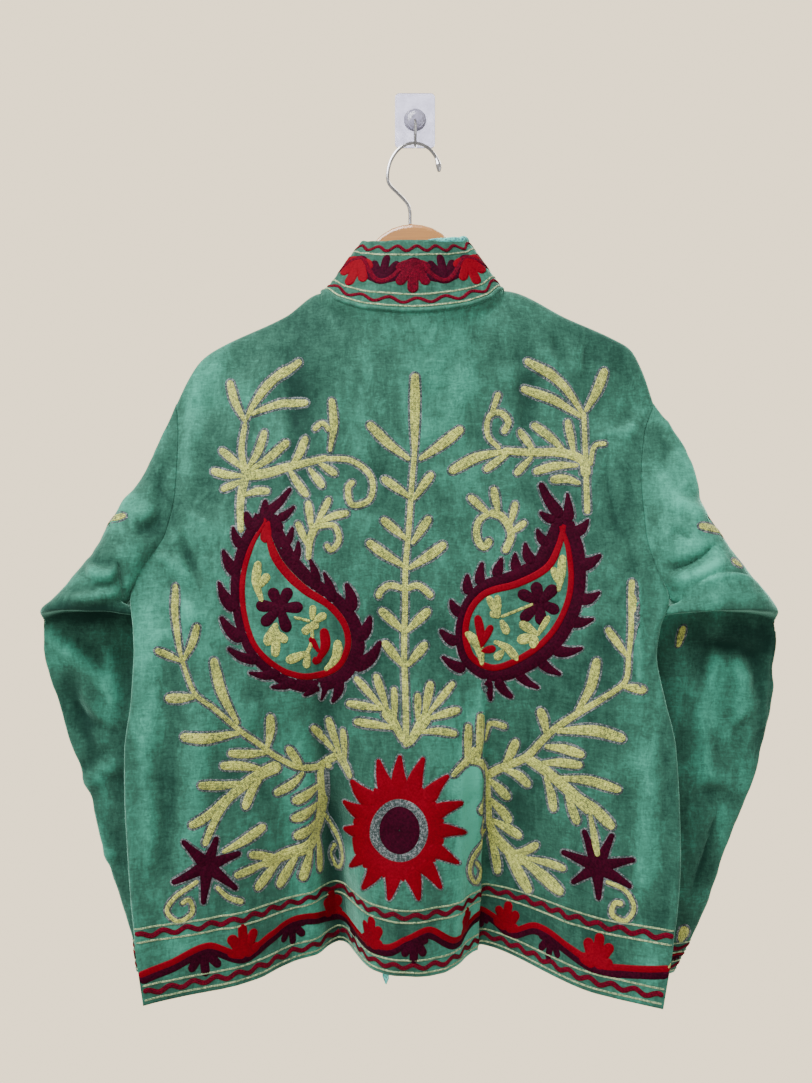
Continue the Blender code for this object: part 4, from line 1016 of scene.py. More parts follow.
def thread_material(name, stops, row=2.4, stitch=3.4, shine=0.2, relief=0.8, speckle_and_groove_shade=1.0, gloss=0.2):
    """Rows of chain stitches that follow the line, a row wide and a stitch long in millimetres. The UVs are
    across the line and along it. The colour is painted darker in the grooves between rows and stitches, as
    shade."""
    material, tree = new_material(name)
    uvs = node(tree, "ShaderNodeTexCoord", {}).outputs["UV"]
    parts = node(tree, "ShaderNodeSeparateXYZ", {"Vector": uvs}).outputs
    wobble = noise(tree, "UV", (420.0, 210.0, 1.0), 2.0)
    rows = maths(tree, "MULTIPLY_ADD", parts["X"], 1 / (row * MM), maths(tree, "MULTIPLY", wobble, 1.4))
    ridge = maths(tree, "ABSOLUTE", maths(tree, "SUBTRACT", maths(tree, "FRACT", rows), 0.5))
    along = maths(tree, "MULTIPLY", parts["Y"], 1 / (stitch * MM))
    places = maths(tree, "MULTIPLY_ADD", wobble, 1.5, maths(tree, "MULTIPLY_ADD", ridge, 1.2, along))
    loop = maths(tree, "ABSOLUTE", maths(tree, "SUBTRACT", maths(tree, "FRACT", places), 0.5))
    height = maths(tree, "MULTIPLY_ADD", loop, 1.1, maths(tree, "SUBTRACT", 0.55, ridge))
    mottle = noise(tree, "Object", (400.0, 400.0, 400.0), 2.0, 0.55)
    broad = noise(tree, "Object", (40.0, 40.0, 40.0), 2.0, 0.5)
    # painted shade: the stitches' height darkens the colour in their grooves
    tone = 0.25 - 1.61 * speckle_and_groove_shade
    for part, share in ((mottle, 2.3 * speckle_and_groove_shade), (height, 0.80 * speckle_and_groove_shade), (broad, 0.50)):
        tone = maths(tree, "MULTIPLY_ADD", part, share, tone)
    return dress(material, {
        "Base Color": ramp(tree, tone, stops),
        "Normal": bump(tree, height, relief, 0.0011),
        "Roughness": 0.66,
        "Sheen Weight": shine,
        "Specular IOR Level": gloss,
    })


def wood_material():
    material, tree = new_material("varnished_wood")
    grain = noise(tree, "Object", (14.0, 60.0, 260.0), 5.0, 0.6, 0.8)
    broad = noise(tree, "Object", (9.0, 9.0, 40.0))
    tone = maths(tree, "MULTIPLY_ADD", grain, 0.6, maths(tree, "MULTIPLY", broad, 0.4))
    stops = [(0.32, 0.26, 0.105, 0.022), (0.52, 0.36, 0.150, 0.031), (0.75, 0.45, 0.195, 0.042)]
    return dress(material, {
        "Base Color": ramp(tree, tone, stops),
        "Normal": bump(tree, grain, 0.12, 0.0004),
        "Roughness": 0.32,
        "Coat Weight": 0.5,
        "Coat Roughness": 0.12,
    })


def steel_material():
    material, tree = new_material("bright_steel")
    wear = noise(tree, "Object", (160.0, 160.0, 160.0))
    return dress(material, {
        "Base Color": ramp(tree, wear, [(0.3, 0.24, 0.24, 0.25), (0.7, 0.36, 0.36, 0.37)]),
        "Roughness": maths(tree, "MULTIPLY_ADD", wear, 0.22, 0.08),
        "Metallic": 1.0,
    })


def clear_material():
    material, tree = new_material("clear_plastic")
    haze = noise(tree, "Object", (90.0, 90.0, 90.0))
    return dress(material, {
        "Base Color": ramp(tree, haze, [(0.3, 0.30, 0.29, 0.38), (0.7, 0.42, 0.41, 0.52)]),
        "Roughness": maths(tree, "MULTIPLY_ADD", haze, 0.25, 0.05),
        "Normal": bump(tree, haze, 0.15, 0.0006),
        "Transmission Weight": 0.55,
        "IOR": 1.46,
    })


def floor_material():
    material, tree = new_material("pale_floor")
    soft = noise(tree, "Object", (1.2, 1.2, 1.2))
    stops = [(0.3, 0.5952, 0.5664, 0.5184), (0.7, 0.6386, 0.6077, 0.5562)]
    return dress(material, {"Base Color": ramp(tree, soft, stops), "Roughness": 0.9})


VELVET = velvet_material("green_velvet", [
    (0.10, 0.0030, 0.0235, 0.0170), (0.30, 0.0100, 0.0460, 0.0320), (0.48, 0.0230, 0.0880, 0.0610),
    (0.66, 0.0330, 0.1720, 0.1200), (0.90, 0.0550, 0.3300, 0.2350)])
CREAM = thread_material("cream_thread", [
    (0.12, 0.060, 0.080, 0.034), (0.36, 0.200, 0.235, 0.060), (0.58, 0.440, 0.475, 0.085),
    (0.95, 0.690, 0.710, 0.190)], row=1.8, stitch=2.3, speckle_and_groove_shade=0.62)
PALE = thread_material("pale_thread", [
    (0.15, 0.060, 0.130, 0.070), (0.40, 0.200, 0.300, 0.150), (0.85, 0.460, 0.540, 0.300)],
    row=1.9, stitch=2.0, speckle_and_groove_shade=0.8)
GREY = thread_material("grey_thread", [
    (0.20, 0.012, 0.030, 0.030), (0.50, 0.045, 0.066, 0.068), (0.90, 0.190, 0.210, 0.220)],
    row=1.8, stitch=3.2)
MAROON = thread_material("maroon_thread", [
    (0.20, 0.0150, 0.0005, 0.0050), (0.85, 0.0420, 0.0010, 0.0110)],
    row=1.5, relief=0.35, shine=0.0, speckle_and_groove_shade=0.6, gloss=0.03)
RED = thread_material("red_thread", [
    (0.20, 0.1150, 0.0006, 0.0050), (0.85, 0.2000, 0.0008, 0.0085)],
    row=1.5, relief=0.3, shine=0.0, speckle_and_groove_shade=0.4, gloss=0.04)
CRIMSON = thread_material("crimson_thread", [
    (0.20, 0.0620, 0.0008, 0.0080), (0.85, 0.1500, 0.0015, 0.0140)],
    row=1.7, stitch=2.6, shine=0.0, speckle_and_groove_shade=0.8, gloss=0.05)
AQUA = thread_material("aqua_binding", [
    (0.20, 0.0300, 0.1600, 0.1800), (0.36, 0.0600, 0.4200, 0.3600), (0.80, 0.0900, 0.5800, 0.5000)],
    row=4.0, stitch=9.0, relief=0.3)

# Threads of the embroidery: how high they stand, cross-section and material
Kind = collections.namedtuple("Kind", "height section material")
THREADS = {
    "grey": Kind(0.00030, FLAT, GREY),
    "cream": Kind(0.00075, CROWN, CREAM),
    "pale": Kind(0.00065, CROWN, PALE),
    "maroon": Kind(0.00055, FLAT, MAROON),
    "red": Kind(0.00075, CROWN, RED),
    "crimson": Kind(0.00075, CROWN, CRIMSON),
}

# Embroidery of the back, given in the photograph's pixels. A leaf goes from its foot to its tip; half
# is its half width, and bow says how far its middle bends to the right of its way. A stem has half widths at
# its two ends.
Leaf = collections.namedtuple("Leaf", "x0 y0 x1 y1 half bow", defaults=(3.6, 0.0))
Stem = collections.namedtuple("Stem", "points first last", defaults=(2.4, 2.4))
LEAVES = rows_of(Leaf, {
    "centre": [
        (414.6, 457, 415, 374, 4.6), (410, 460, 368, 423, 4.4, -2), (419, 460, 462.5, 428, 4.6, 1),
        (411, 498, 382, 477.5, 3.9), (413, 500, 432.6, 473, 3.9), (407.5, 540, 381.5, 518.5, 3.9),
        (412, 544, 430, 517, 3.9), (405.6, 567, 367, 541.5, 4.3, -1), (408, 569, 445.7, 543.5, 4.4, 1),
        (404.5, 632, 379.5, 609, 4.3), (406, 632, 430, 609, 4.3), (403.6, 666, 383, 641, 4.3),
        (407, 666, 427, 642.5, 4.3),
    ],
    "fan": [
        (385, 711, 355, 677, 3.2), (388, 712, 375.5, 674, 3.6), (395, 722, 394, 687, 3.2),
        (384, 709, 346.5, 703, 3.6), (396, 728, 354.5, 721, 3.9), (418, 722, 417.7, 693, 3.2),
        (424, 717, 431, 681, 4.0), (427, 716, 454, 682, 3.4), (428, 719, 459.5, 709, 3.8),
        (420, 732, 456, 733.5, 3.4, -2),
    ],
    "upper_left": [
        (247, 424, 230, 381, 3.9, -2), (247, 421, 302, 361, 4.0, -8), (252, 416, 309, 403, 3.8, -5),
        (247, 470, 266, 431, 3.7, 3), (248, 472, 289, 442, 3.8, 2), (245, 470, 220, 449, 3.6),
        (244, 476, 211, 470, 3.8, -2), (245, 480, 221, 490, 3.4), (244, 496, 270, 491, 3.6, -2),
        (289, 470, 307, 437, 3.8, 2), (288, 467, 308, 497, 3.6, 1), (309, 468, 324, 488, 3.5),
        (319, 463, 337, 475, 3.4), (330, 452, 332, 399, 3.6, 3),
    ],
    "sprig_left": [
        (309, 548, 297, 522, 3.4), (312, 532, 308, 501, 3.4), (316, 526, 330, 498, 3.2),
        (318, 524, 349, 513, 3.4, -2),
    ],
    "upper_right": [
        (583, 414, 525, 360, 4.2, 7), (583, 418, 521, 388, 4.2, 3), (585, 412, 604.5, 369, 4.2, 2),
        (574, 456, 567, 420, 3.4), (566, 453, 532, 424, 4.0, 1), (534, 452, 518.5, 430, 3.6),
        (506, 451, 449, 472.5, 4.7, 4), (510, 452, 484, 471, 3.6), (532, 457, 515, 475, 3.4),
        (578, 466, 533.5, 472.5, 4.0, 3), (580, 484, 550, 480, 3.8, 3),
    ],
    "sprig_right": [
        (490, 515, 468.5, 496, 3.6), (499, 516, 493, 487, 3.6), (510, 526, 515.7, 502, 3.2),
        (510, 534, 526, 521.5, 3.2),
    ],
    "lower_left": [
        (238, 724, 213, 658, 4.6, -4), (182, 660, 175.5, 584, 3.4, -3), (183, 661, 197.5, 624, 3.4, 2),
        (182, 661, 155.5, 650, 3.4), (197, 696, 165, 698.5, 4.6, -1), (240, 732, 181, 737, 4.8, -3),
        (267, 748, 270, 714, 4.2, 2), (268, 752, 228, 753.5, 4.2, -1), (265, 770, 220, 766, 4.3, 2),
        (243, 783, 198, 784.5, 4.3, -2), (227, 796, 189.5, 826, 4.2, -3), (262, 776, 244, 809, 4.0, 2),
        (222, 852, 264, 824.5, 4.2, 2), (302, 768, 287, 746, 3.9), (302, 770, 274, 794, 3.7, -2),
        (320, 784, 291, 800, 4.4), (320, 802, 290, 818, 4.4), (317, 820, 292.5, 836, 4.4),
        (280, 857, 248, 854, 4.0), (270, 861, 234, 876, 3.8), (280, 858, 256, 890, 4.0),
        (294, 854, 278, 887, 4.2), (308, 844, 299, 878, 3.9), (317, 834, 319, 871, 3.4),
        (336, 752, 311, 726, 3.4), (341, 756, 328, 718, 3.6), (346, 762, 343, 728, 3.2),
    ],
    "lower_right": [
        (629, 657, 631.5, 580, 3.8, 2), (628, 657, 606.5, 627.5, 3.6), (622, 686, 646, 690, 4.0),
        (577, 712, 597.5, 658, 4.6, 4), (547, 736, 539.5, 708, 4.2, 1), (556, 731, 625.5, 739, 5.2, -5),
        (545, 746, 584.5, 755, 4.4, -2), (504, 765, 517, 739, 4.4, 1), (540, 763, 582.5, 765, 4.2, -2),
        (556, 777, 621, 790, 4.4, -3), (546, 776, 555, 811, 3.9, -1), (567, 794, 578.5, 824, 4.0),
        (572, 792, 614, 828, 5.0, -2), (590, 812, 598.5, 856, 3.2), (503, 768, 530.5, 786, 4.2, -3),
        (489, 779, 509.5, 799, 4.4, -1), (489, 798, 510.5, 823, 4.4, -1), (490, 820, 522, 837, 4.2, -1),
        (510, 853, 539, 843, 4.0, 3), (526, 858, 566, 869, 3.9, -1), (520, 858, 563, 894, 5.2, -1),
        (504, 848, 530, 893, 5.0, -1), (489.5, 834, 498.5, 874, 3.9, -1), (485, 794, 475, 811, 3.0),
        (486, 814, 478, 832, 3.0), (475, 760, 480, 712, 3.8, 1), (464, 765, 467, 723, 3.6, 1),
    ],
})
STEMS = rows_of(Stem, {
    "centre": [
        ([(414.6, 452), (411.5, 489), (408.6, 533), (405.6, 566), (405.2, 600), (404.4, 649),
          (405.6, 697), (406.3, 747)], 2.7, 3.4),
        ([(405.5, 589), (389.5, 585.5), (380.3, 591.5), (378.2, 598.5)], 3.2, 3.6),
        ([(405.5, 589), (417.7, 585.5), (427, 591.5), (432.4, 597.5)], 3.2, 3.6),
    ],
    "fan": [
        ([(384, 709), (394, 723), (404, 742)], 6.5, 3.0), ([(428, 714), (419, 728), (408, 745)], 7.5, 3.4),
    ],
    "upper_left": [
        ([(246, 476), (242, 452), (246, 424)], 4.0, 2.6), ([(247, 470), (241, 500), (241, 533)], 5.0, 3.2),
        ([(246, 476), (268, 473), (290, 467), (328, 458)], 5.6, 3.2),
        ([(331, 432), (323, 424), (314, 431)], 2.6, 3.0),
        ([(326, 459), (352, 461), (371, 477), (370, 499), (352, 505), (348, 488), (354, 481)], 2.8, 3.2),
    ],
    "sprig_left": [
        ([(308.5, 560), (310, 540), (317, 524)], 2.8, 4.6),
        ([(316, 527), (334, 526), (339, 540), (331, 550), (326, 544)], 2.8, 3.0),
    ],
    "upper_right": [
        ([(587.5, 514), (586, 484), (586, 462), (583.5, 412)], 3.2, 2.6),
        ([(586, 478), (582, 461), (560, 453), (532, 453), (502, 451)], 5.6, 3.4),
        ([(500, 449), (488, 436), (489, 417), (499, 413), (508, 422), (503, 434)], 2.4, 3.6),
        ([(491, 416), (498.5, 393)], 2.4, 3.2), ([(590, 466), (595, 446), (606, 444)], 2.4, 2.6),
    ],
    "sprig_right": [
        ([(504.5, 553), (511, 534), (502, 517), (489, 512)], 3.6, 4.4),
        ([(491, 512), (479, 521), (477, 537), (484, 547), (491, 539)], 3.0, 4.2),
    ],
    "lower_left": [
        ([(332, 766), (301, 766), (277, 757), (259, 744), (241, 731), (214, 708), (195, 693),
          (182, 660)], 3.4, 2.2),
        ([(280, 764), (262, 773), (238, 790), (219, 812), (204, 845)], 6.6, 3.4),
        ([(322, 768), (322, 806), (311, 838), (280, 856), (262, 864)], 6.0, 5.6),
        ([(353, 777), (347, 766), (338, 753)], 2.4, 5.2), ([(338, 754), (327, 762), (316, 767)], 4.2, 3.4),
        ([(322, 812), (337, 836), (343, 857), (338, 869), (332, 855), (336, 845)], 1.9, 1.7),
        ([(198, 880), (175, 897), (167, 911), (178, 921), (192, 912), (189, 899), (181, 903)], 2.2, 2.4),
        ([(216, 886), (228, 897), (243, 902)], 2.2, 3.2),
    ],
    "lower_right": [
        ([(486, 776), (500, 768), (526, 757), (540, 743), (552, 731), (577, 714), (613, 692), (626, 680),
          (629, 655)], 4.6, 2.6),
        ([(526, 757), (546, 770), (573, 794), (592, 812)], 5.0, 6.4),
        ([(487, 772), (487.5, 805), (490, 828), (510, 852), (528, 862)], 3.6, 6.4),
        ([(451, 776), (457, 768), (466, 758), (474, 746)], 2.2, 4.8),
        ([(466, 759), (478, 760), (484, 768), (486, 778)], 4.0, 3.0),
        ([(484, 740), (490, 724), (507, 727)], 2.6, 3.4),
        ([(486, 830), (470, 851), (464, 869), (469, 880), (475, 868), (470, 859)], 1.9, 1.7),
        ([(606, 881), (626, 891), (634, 908), (625, 921), (612, 914), (615, 903), (623, 904)], 2.0, 3.0),
    ],
})

# Flowers and stars: the middle and the tips of the arms
STARS = [
    ((207, 865), [(182.5, 840), (217, 836), (240, 852), (237, 889), (203, 904), (172, 883)]),
    ((598, 866), [(584, 829), (613, 833), (636, 859), (632, 887), (599, 900), (571.5, 883), (562, 851)]),
]
SMALL_FLOWERS = [
    ((280, 608), [(271, 588), (290, 588), (303, 607), (288, 632), (262, 625), (256, 605)]),
    ((540, 602.5), [(535, 582), (556, 586), (559, 612), (541, 625), (521, 621), (518, 592)]),
]
BAR_TACK = [(667, 969), (674, 962)]

# The botehs, which are paisleys: outline of the red line from the tip all round, widths of the maroon band
# and half widths of the red line along it, and the flames round it. A flame goes from its foot to its tip,
# with its half widths there.
Flame = collections.namedtuple("Flame", "x0 y0 x1 y1 foot tip bow", defaults=(0.0,))
Boteh = collections.namedtuple("Boteh", "outline band red flames")
BOTEHS = [
    Boteh(
        outline=[
            (266, 518), (273, 540), (284, 562), (306, 585), (332, 603), (348, 624), (351, 648), (338, 671),
            (309, 680), (279, 672), (253, 648), (241, 612), (240, 577), (249, 546), (265, 519),
        ],
        band=[12, 15, 14, 12, 12, 14, 14, 12, 9, 8, 8, 9, 10, 11],
        red=[1.4, 4.6, 4.8, 3.9, 3.4, 3.4, 3.6, 3.2, 3, 3, 3, 2.8, 1.6],
        flames=[
            Flame(265, 515, 291, 488, 5, 2.6, 2), Flame(278, 520, 295, 506.5, 4.5, 2.2, 1),
            Flame(282, 548, 293, 527, 5, 2, 2), Flame(292, 565, 298.5, 541, 5, 1.8, 2),
            Flame(314, 590, 310, 559, 6, 1.8, 3), Flame(332, 602, 323.5, 572, 6, 1.6, 2),
            Flame(350, 612, 346, 583, 7, 2.8, 3), Flame(356, 640, 370.5, 616, 7, 2.6, 3),
            Flame(352, 668, 381, 641, 8, 2.8, 5), Flame(340, 680, 332, 703, 6, 2, -2),
            Flame(325, 683, 321, 701, 5, 2), Flame(318, 682, 303, 695, 5, 2, -2),
            Flame(295, 680, 271, 687, 5, 1.8, -2), Flame(280, 672, 248.5, 672.5, 5.5, 1.8, -3),
            Flame(258, 660, 227.5, 648, 5.5, 2.6, -3), Flame(244, 640, 220.5, 616.5, 7, 2.8, -3),
            Flame(237, 610, 218.5, 581.5, 7, 1.8, -3), Flame(238, 575, 223, 550, 7, 2.4, -2),
            Flame(243, 548, 233, 527, 5.5, 1.8, -2), Flame(254, 530, 245.5, 512, 6, 3.4, -1),
            Flame(265, 520, 265.5, 500, 5.5, 3),
        ]),
    Boteh(
        outline=[
            (562, 524), (555, 546), (544, 565), (516, 580), (484, 590), (467, 609), (462, 636), (470, 660),
            (493, 671), (522, 661), (548, 642), (566, 615), (574, 584), (571, 549), (563, 525),
        ],
        band=[10, 14, 12, 10, 8, 6, 7, 9, 12, 13, 13, 12, 12, 13, 12],
        red=[2.6, 3.9, 4.0, 3.7, 3.5, 3.5, 3.5, 3.5, 3.3, 3.2, 3.2, 3.0, 2.4],
        flames=[
            Flame(561.5, 517, 540, 483, 6, 4, -2), Flame(555, 521, 539.4, 512, 5, 2.2, -1),
            Flame(548.7, 545, 537, 529, 6, 2, -2), Flame(533, 564, 525, 542.7, 6, 2, -2),
            Flame(517.5, 573, 515, 552.8, 6, 1.8, -1), Flame(495.6, 578, 502, 557.5, 6, 1.8),
            Flame(480, 585.6, 482.3, 562, 5.5, 2.2, -1), Flame(469, 595, 467.5, 574, 6, 2.4, -1),
            Flame(462.8, 615, 450.3, 599.7, 6, 2.4, -2), Flame(458, 643, 440, 629.4, 6, 2.8, -2),
            Flame(465.5, 669.5, 441.7, 656, 6, 2, -2), Flame(487.2, 679, 491, 701, 5, 2.2),
            Flame(497, 679, 512.8, 698, 5, 3.2, 2), Flame(516.6, 671.8, 539.4, 688, 5, 2.2, 2),
            Flame(538.5, 659.3, 561.3, 674.7, 5.5, 2.2, 2), Flame(552, 649.7, 583, 648, 6, 2.2, 3),
            Flame(567.5, 620, 594, 619, 6.5, 1.6, 3), Flame(577, 599.7, 600, 592, 7, 1.8, 3),
            Flame(578.4, 567, 601, 555, 7, 2.6, 2), Flame(573.8, 534, 588.6, 519, 6.5, 1.6, 2),
            Flame(569, 521.6, 567.5, 492.7, 5.5, 1.8),
        ]),
]
MASSES = [[(253, 531), (266, 518), (282, 531)], [(553, 528), (562, 518.5), (571, 529)]]   # round the tips

# What stands inside them
INSIDE_LEAVES = [
    Leaf(262, 602, 258.5, 561, 4.2, -4), Leaf(258, 588, 269, 574, 4.0), Leaf(277, 623, 266, 645, 4.8),
    Leaf(277, 628, 275, 657, 4.2), Leaf(277, 632, 287, 642, 3.8), Leaf(313, 622, 326, 614, 3.8),
    Leaf(312, 620, 313, 605, 3.2), Leaf(311, 622, 318, 628, 3.6), Leaf(311, 624, 303, 634, 3.8),
    Leaf(308, 652, 286, 661, 4.2), Leaf(308, 652, 306, 668, 3.6), Leaf(325, 671, 338, 640, 4.4, 5),
    Leaf(558, 592, 562.5, 555, 4.0, 1), Leaf(557, 583, 553, 567, 3.2), Leaf(499, 618, 488, 596, 3.4),
    Leaf(499, 616, 497, 595, 3.2), Leaf(500, 617, 490, 612, 3.6), Leaf(501, 620, 508, 634, 3.8),
    Leaf(537, 634, 519.5, 622, 4.4), Leaf(537, 637, 517, 640, 4.6), Leaf(537, 637, 532, 648, 4.2),
    Leaf(537, 636, 549, 616, 3.0), Leaf(494, 641, 518, 660, 3.8, -3), Leaf(504, 650, 495, 659, 3.8),
    Leaf(482, 665, 465.5, 632, 4.6, 5),
]
INSIDE_STEMS = [
    Stem([(294, 617), (310, 621)], 1.4, 1.6), Stem([(311, 622), (312, 640), (307, 653)], 1.6, 2.2),
    Stem([(501, 617), (533, 604)], 1.6, 1.4),
]
RED_LEAVES = [
    Leaf(269, 521, 264.5, 543, 5.0), Leaf(317, 662, 323.5, 628, 4.6, 5), Leaf(319, 652, 310, 637, 3.0),
    Leaf(322, 660, 312, 661, 3.8), Leaf(480, 650, 477, 615, 4.0, 2), Leaf(480, 648, 492, 625, 3.4),
    Leaf(481, 651, 496, 648, 3.6),
]

# The big flower: its middle and the tips of its petals, then half width and half height of the red disc that
# they grow from, of the grey ring's outer edge and of the dark middle
SUNFLOWER = ((399.5, 830.5), [
    (378, 759), (400, 755), (424, 757), (448, 774.5), (459, 801), (462, 831), (455, 862), (440.5, 888),
    (418.6, 900), (389.5, 900), (367, 888), (353, 865), (344, 828), (344, 800), (353, 778.6)])
SUN_DISC = np.array([46, 52])
SUN_RING = np.array([29.5, 32.4])
SUN_CORE = np.array([22.5, 26.4])
SUN_UNDER = 0.9          # share of the next form's size at which one starts below it
SUN_MIDDLE = 0.03        # and at which the dark middle starts
SUN_PETAL_START = 0.52   # share of the way to a petal's tip, and how far its middle bends
SUN_PETAL_BOW = 0.015
SUN_STEPS = 121
SUN_ALONG = 32           # of the UVs, for each radian

# Half widths from foot to tip: shares of its own for a leaf, an arm and a small petal, pixels for the others
LEAF_SHAPE = (0.50, 0.82, 1.12, 1.16, 0.84)
ARM_SHAPE = (2.10, 1.42, 0.95, 0.62)
PETAL_SHAPE = (0.75, 0.95, 1.18, 1.10)
ARM_HALF = 4.6
PETAL_HALF = 5.4
SUN_PETAL = (11.5, 8.4, 5.2, 1.9)
MASS_HALVES = (6.5, 8, 6.5)
TACK_HALF = 1.5
FLAME_FOOT = 1.35        # shares of a flame's two half widths at its foot, middle and tip
FLAME_MIDDLE = (0.86, 0.26)
FLAME_TIP = 0.85
BOTEH_STEPS = 120
BAND_UNDER = 0.6         # how far the maroon band goes on below the red line and the grey edge
EDGE_WIDE = 2.3          # of the grey line round a motif
THIN_EDGE = 1.6
PIXEL = 1.05             # millimetres of a pixel on the back
METRE = 1000.0           # millimetres

# Borders, in metres along and up from the edge: heights of the pale and of the wavy crimson lines, height of
# the vine's middle, how far it swings, length of its waves, size of its flowers, start of its first wave
Band = collections.namedtuple("Band", "lines waves middle high long size first")
HEM_BAND = Band((0.0045, 0.0180, 0.0585, 0.0715), (0.0112, 0.0650), 0.0330, 0.0090, 0.096, 0.95, 0.03)
CUFF_BAND = Band((0.0045, 0.0180, 0.0310, 0.0445), (0.0112, 0.0378), 0.0245, 0.0030, 0.050, 0.36, 0.02)
LINE_HALF = 0.0009
WAVE_HALF = 0.0026
WAVE_LONG = 0.0225
WAVE_HIGH = 0.0021
VINE_HALF = 0.0056
VINE_MAROON = (-0.45, 0.90)   # shift and half width of its two colours, as shares of that
VINE_RED = (0.40, 0.62)
LINE_RUN = 0.004         # between the points of a straight line, and of a wavy one
WAVE_RUN = 0.0028
LEAST_POINTS = 8
END_CLEAR = 0.002        # of a hem's border at its ends
BLOOM_CLEAR = 0.012      # of its flowers
BLOOM_INSIDE = 0.0010    # how far they start inside the vine's crests
HEM_ROW = 0.06           # places up the body and along a sleeve where a border's length is measured
CUFF_ROW = 0.95

# Lobes of a border's flower: lean and length; half widths from foot to tip
LOBES = ((-74, 0.0180), (-38, 0.0225), (0, 0.0240), (38, 0.0225), (74, 0.0180))
LOBE_HALVES = (0.0036, 0.0043, 0.0040)
BLOOM_HALF = 0.0185      # half width of the whole flower, and its height where it stands up or hangs
UPRIGHT_HIGH = 0.0195
HANGING_HIGH = 0.0222

# The back's vine: place across the photograph, in its pixels, and height over the hem, in millimetres
VINE = [
    (110, 26.0), (137, 22.0), (170, 32.0), (208, 42.5), (243, 27.5), (272, 36.5), (302, 44.0), (344, 31.5),
    (384, 27.0), (406, 38.0), (428, 47.0), (457, 27.5), (477, 41.0), (492, 34.0), (512, 24.0), (535, 39.5),
    (568, 33.0), (602, 24.5), (624, 27.0), (644, 30.5), (670, 35.0), (690, 38.0),
]
VINE_SAMPLES = 300
VINE_POINTS = 260
VINE_APART = 0.003       # least distance between two of those places

# Its flowers: place, width and height in pixels, way (1 up, -1 down)
Bloom = collections.namedtuple("Bloom", "x wide high way")
BLOOMS = [
    Bloom(204, 38, 24, -1), Bloom(244.5, 36, 25, 1), Bloom(292, 33, 22, -1), Bloom(332, 20, 22, 1),
    Bloom(351.5, 16, 15, -1), Bloom(370.6, 30, 24, 1), Bloom(414, 30, 24, -1), Bloom(464.6, 20, 22, 1),
    Bloom(482, 16, 16, -1), Bloom(506.7, 33, 25, 1), Bloom(550.7, 32, 22, -1), Bloom(596.6, 34, 25, 1),
]

# A leafy sprig that grows up from (0, 0), in millimetres: foot, tip and half width of each leaf, and at its
# foot a red flower with maroon arms
SPRIG_STEM = [(0, 0), (3, 22), (-2, 44), (2, 64)]
SPRIG_STEM_HALVES = (3.4, 2.2)
SPRIG_LEAVES = [
    ((3, 16), (27, 27), 4.2), ((2, 20), (-22, 32), 4.2), ((0, 34), (22, 52), 4.0), ((-2, 40), (-24, 56), 4.0),
    ((-1, 50), (14, 76), 3.8), ((0, 54), (-14, 78), 3.8), ((2, 60), (3, 88), 4.2),
]
SPRIG_ARMS = 6
SPRIG_ARM_LONG = 20
SPRIG_ARM_HALF = 4.4
SPRIG_ARM_LEAN = 0.4
SPRIG_CORE_LONG = 4
SPRIG_CORE_HALF = 5.0

# Sprigs on the fronts and sleeves: place across, place up or along, lean, size
FRONT_SPRIGS = [(0.55, 0.26, 12, 1.2), (0.40, 0.50, -16, 1.15), (0.66, 0.66, 14, 1.1), (0.34, 0.80, -8, 0.8)]
SLEEVE_SPRIGS = {
    -1: [(0.60, 0.32, 12, 0.85), (0.70, 0.74, -10, 0.85), (0.90, 0.50, 0, 0.75)],
    1: [(0.585, 0.325, -12, 0.85), (0.10, 0.74, 14, 0.8), (0.72, 0.60, 0, 0.8)],
}

# Leaves of the sleeves that show from behind, in the photograph's pixels, and under a lip: turn, along, half
# length and half width
SLEEVE_LEAVES = {
    -1: [Leaf(110, 523, 127, 516, 2.4)],
    1: [Leaf(725, 533, 698, 526, 3.2), Leaf(742, 566, 733, 559, 2.2), Leaf(679, 941, 686, 926, 4.4)],
}
SLEEVE_BARS = {-1: [], 1: [(0.198, 0.585, 0.0115, 0.0036)]}

# Border of a front's edge: its heights, and the width that the front has there
EDGE_RUN = (0.074, 0.600)
FRONT_WIDE = 0.255

# Collar embroidery: heights as shares of the collar's, sizes in metres along it from its middle
COLLAR_HIGH = 0.079
COLLAR_SAMPLES = 500
COLLAR_STEP = 0.0020
COLLAR_END = 0.003
COLLAR_LINES = (0.055, 0.23, 0.79)
COLLAR_LINE_HALF = 0.0010
COLLAR_WAVES = (0.14, 0.88)
COLLAR_WAVE_LONG = 0.026
COLLAR_WAVE_HIGH = 0.035
COLLAR_WAVE_START = 0.6  # radians
COLLAR_WAVE_HALF = 0.0019
COLLAR_VINE = (0.40, 0.70)
COLLAR_VINE_LONG = 0.066
COLLAR_VINE_HALVES = {"maroon": 0.0044, "crimson": 0.0027}
HANGING_BLOOM = (0.02, 1.42, 0.80)   # how far inside the vine it starts, size and width
UPRIGHT_BLOOM = (0.01, 1.24, 0.90)

# Rolls of cloth on the collar: the welt along its seam, and the aqua binding at its nape
ROLL_SIDES = 12
ROLL_ROUND = 0.02        # of the UVs, round a roll
WELT_END = 0.012
WELT_POINTS = 220
WELT_TAPER = 0.02
WELT_LOWER = 0.0006
WELT_RADIUS = 0.0024
BINDING_RUN = (0.004, 0.064)   # x of its ends
BINDING_POINTS = 40
BINDING_RADIUS = 0.0042
BINDING_LEAST = 0.05     # share of the radius at its ends
BINDING_Y = (0.0014, 0.0012)   # at its ends, and how much more in its middle
BINDING_Z = (-0.001, 0.0018)

# The pointed end of the hem's turn-up that hangs below the back's hem
TAB_ACROSS = 0.462
TAB_WIDE = 0.0085
TAB_HIGH = 0.0230
TAB_BELOW = 0.0125
TAB_THICK = 0.0012
TAB_TIP = 0.12           # share of its width that its tip has
TAB_SHOULDER = 0.31      # share of its height up to which it widens
TAB_CLEAR = 0.0006       # of the hem's cloth
TAB_CURL = 0.0010
TAB_UP = 0.02            # over which the cloth's slopes are taken beside it
TAB_ASIDE = 0.008
TAB_COLUMNS = 12
TAB_ROWS = (8, 14)

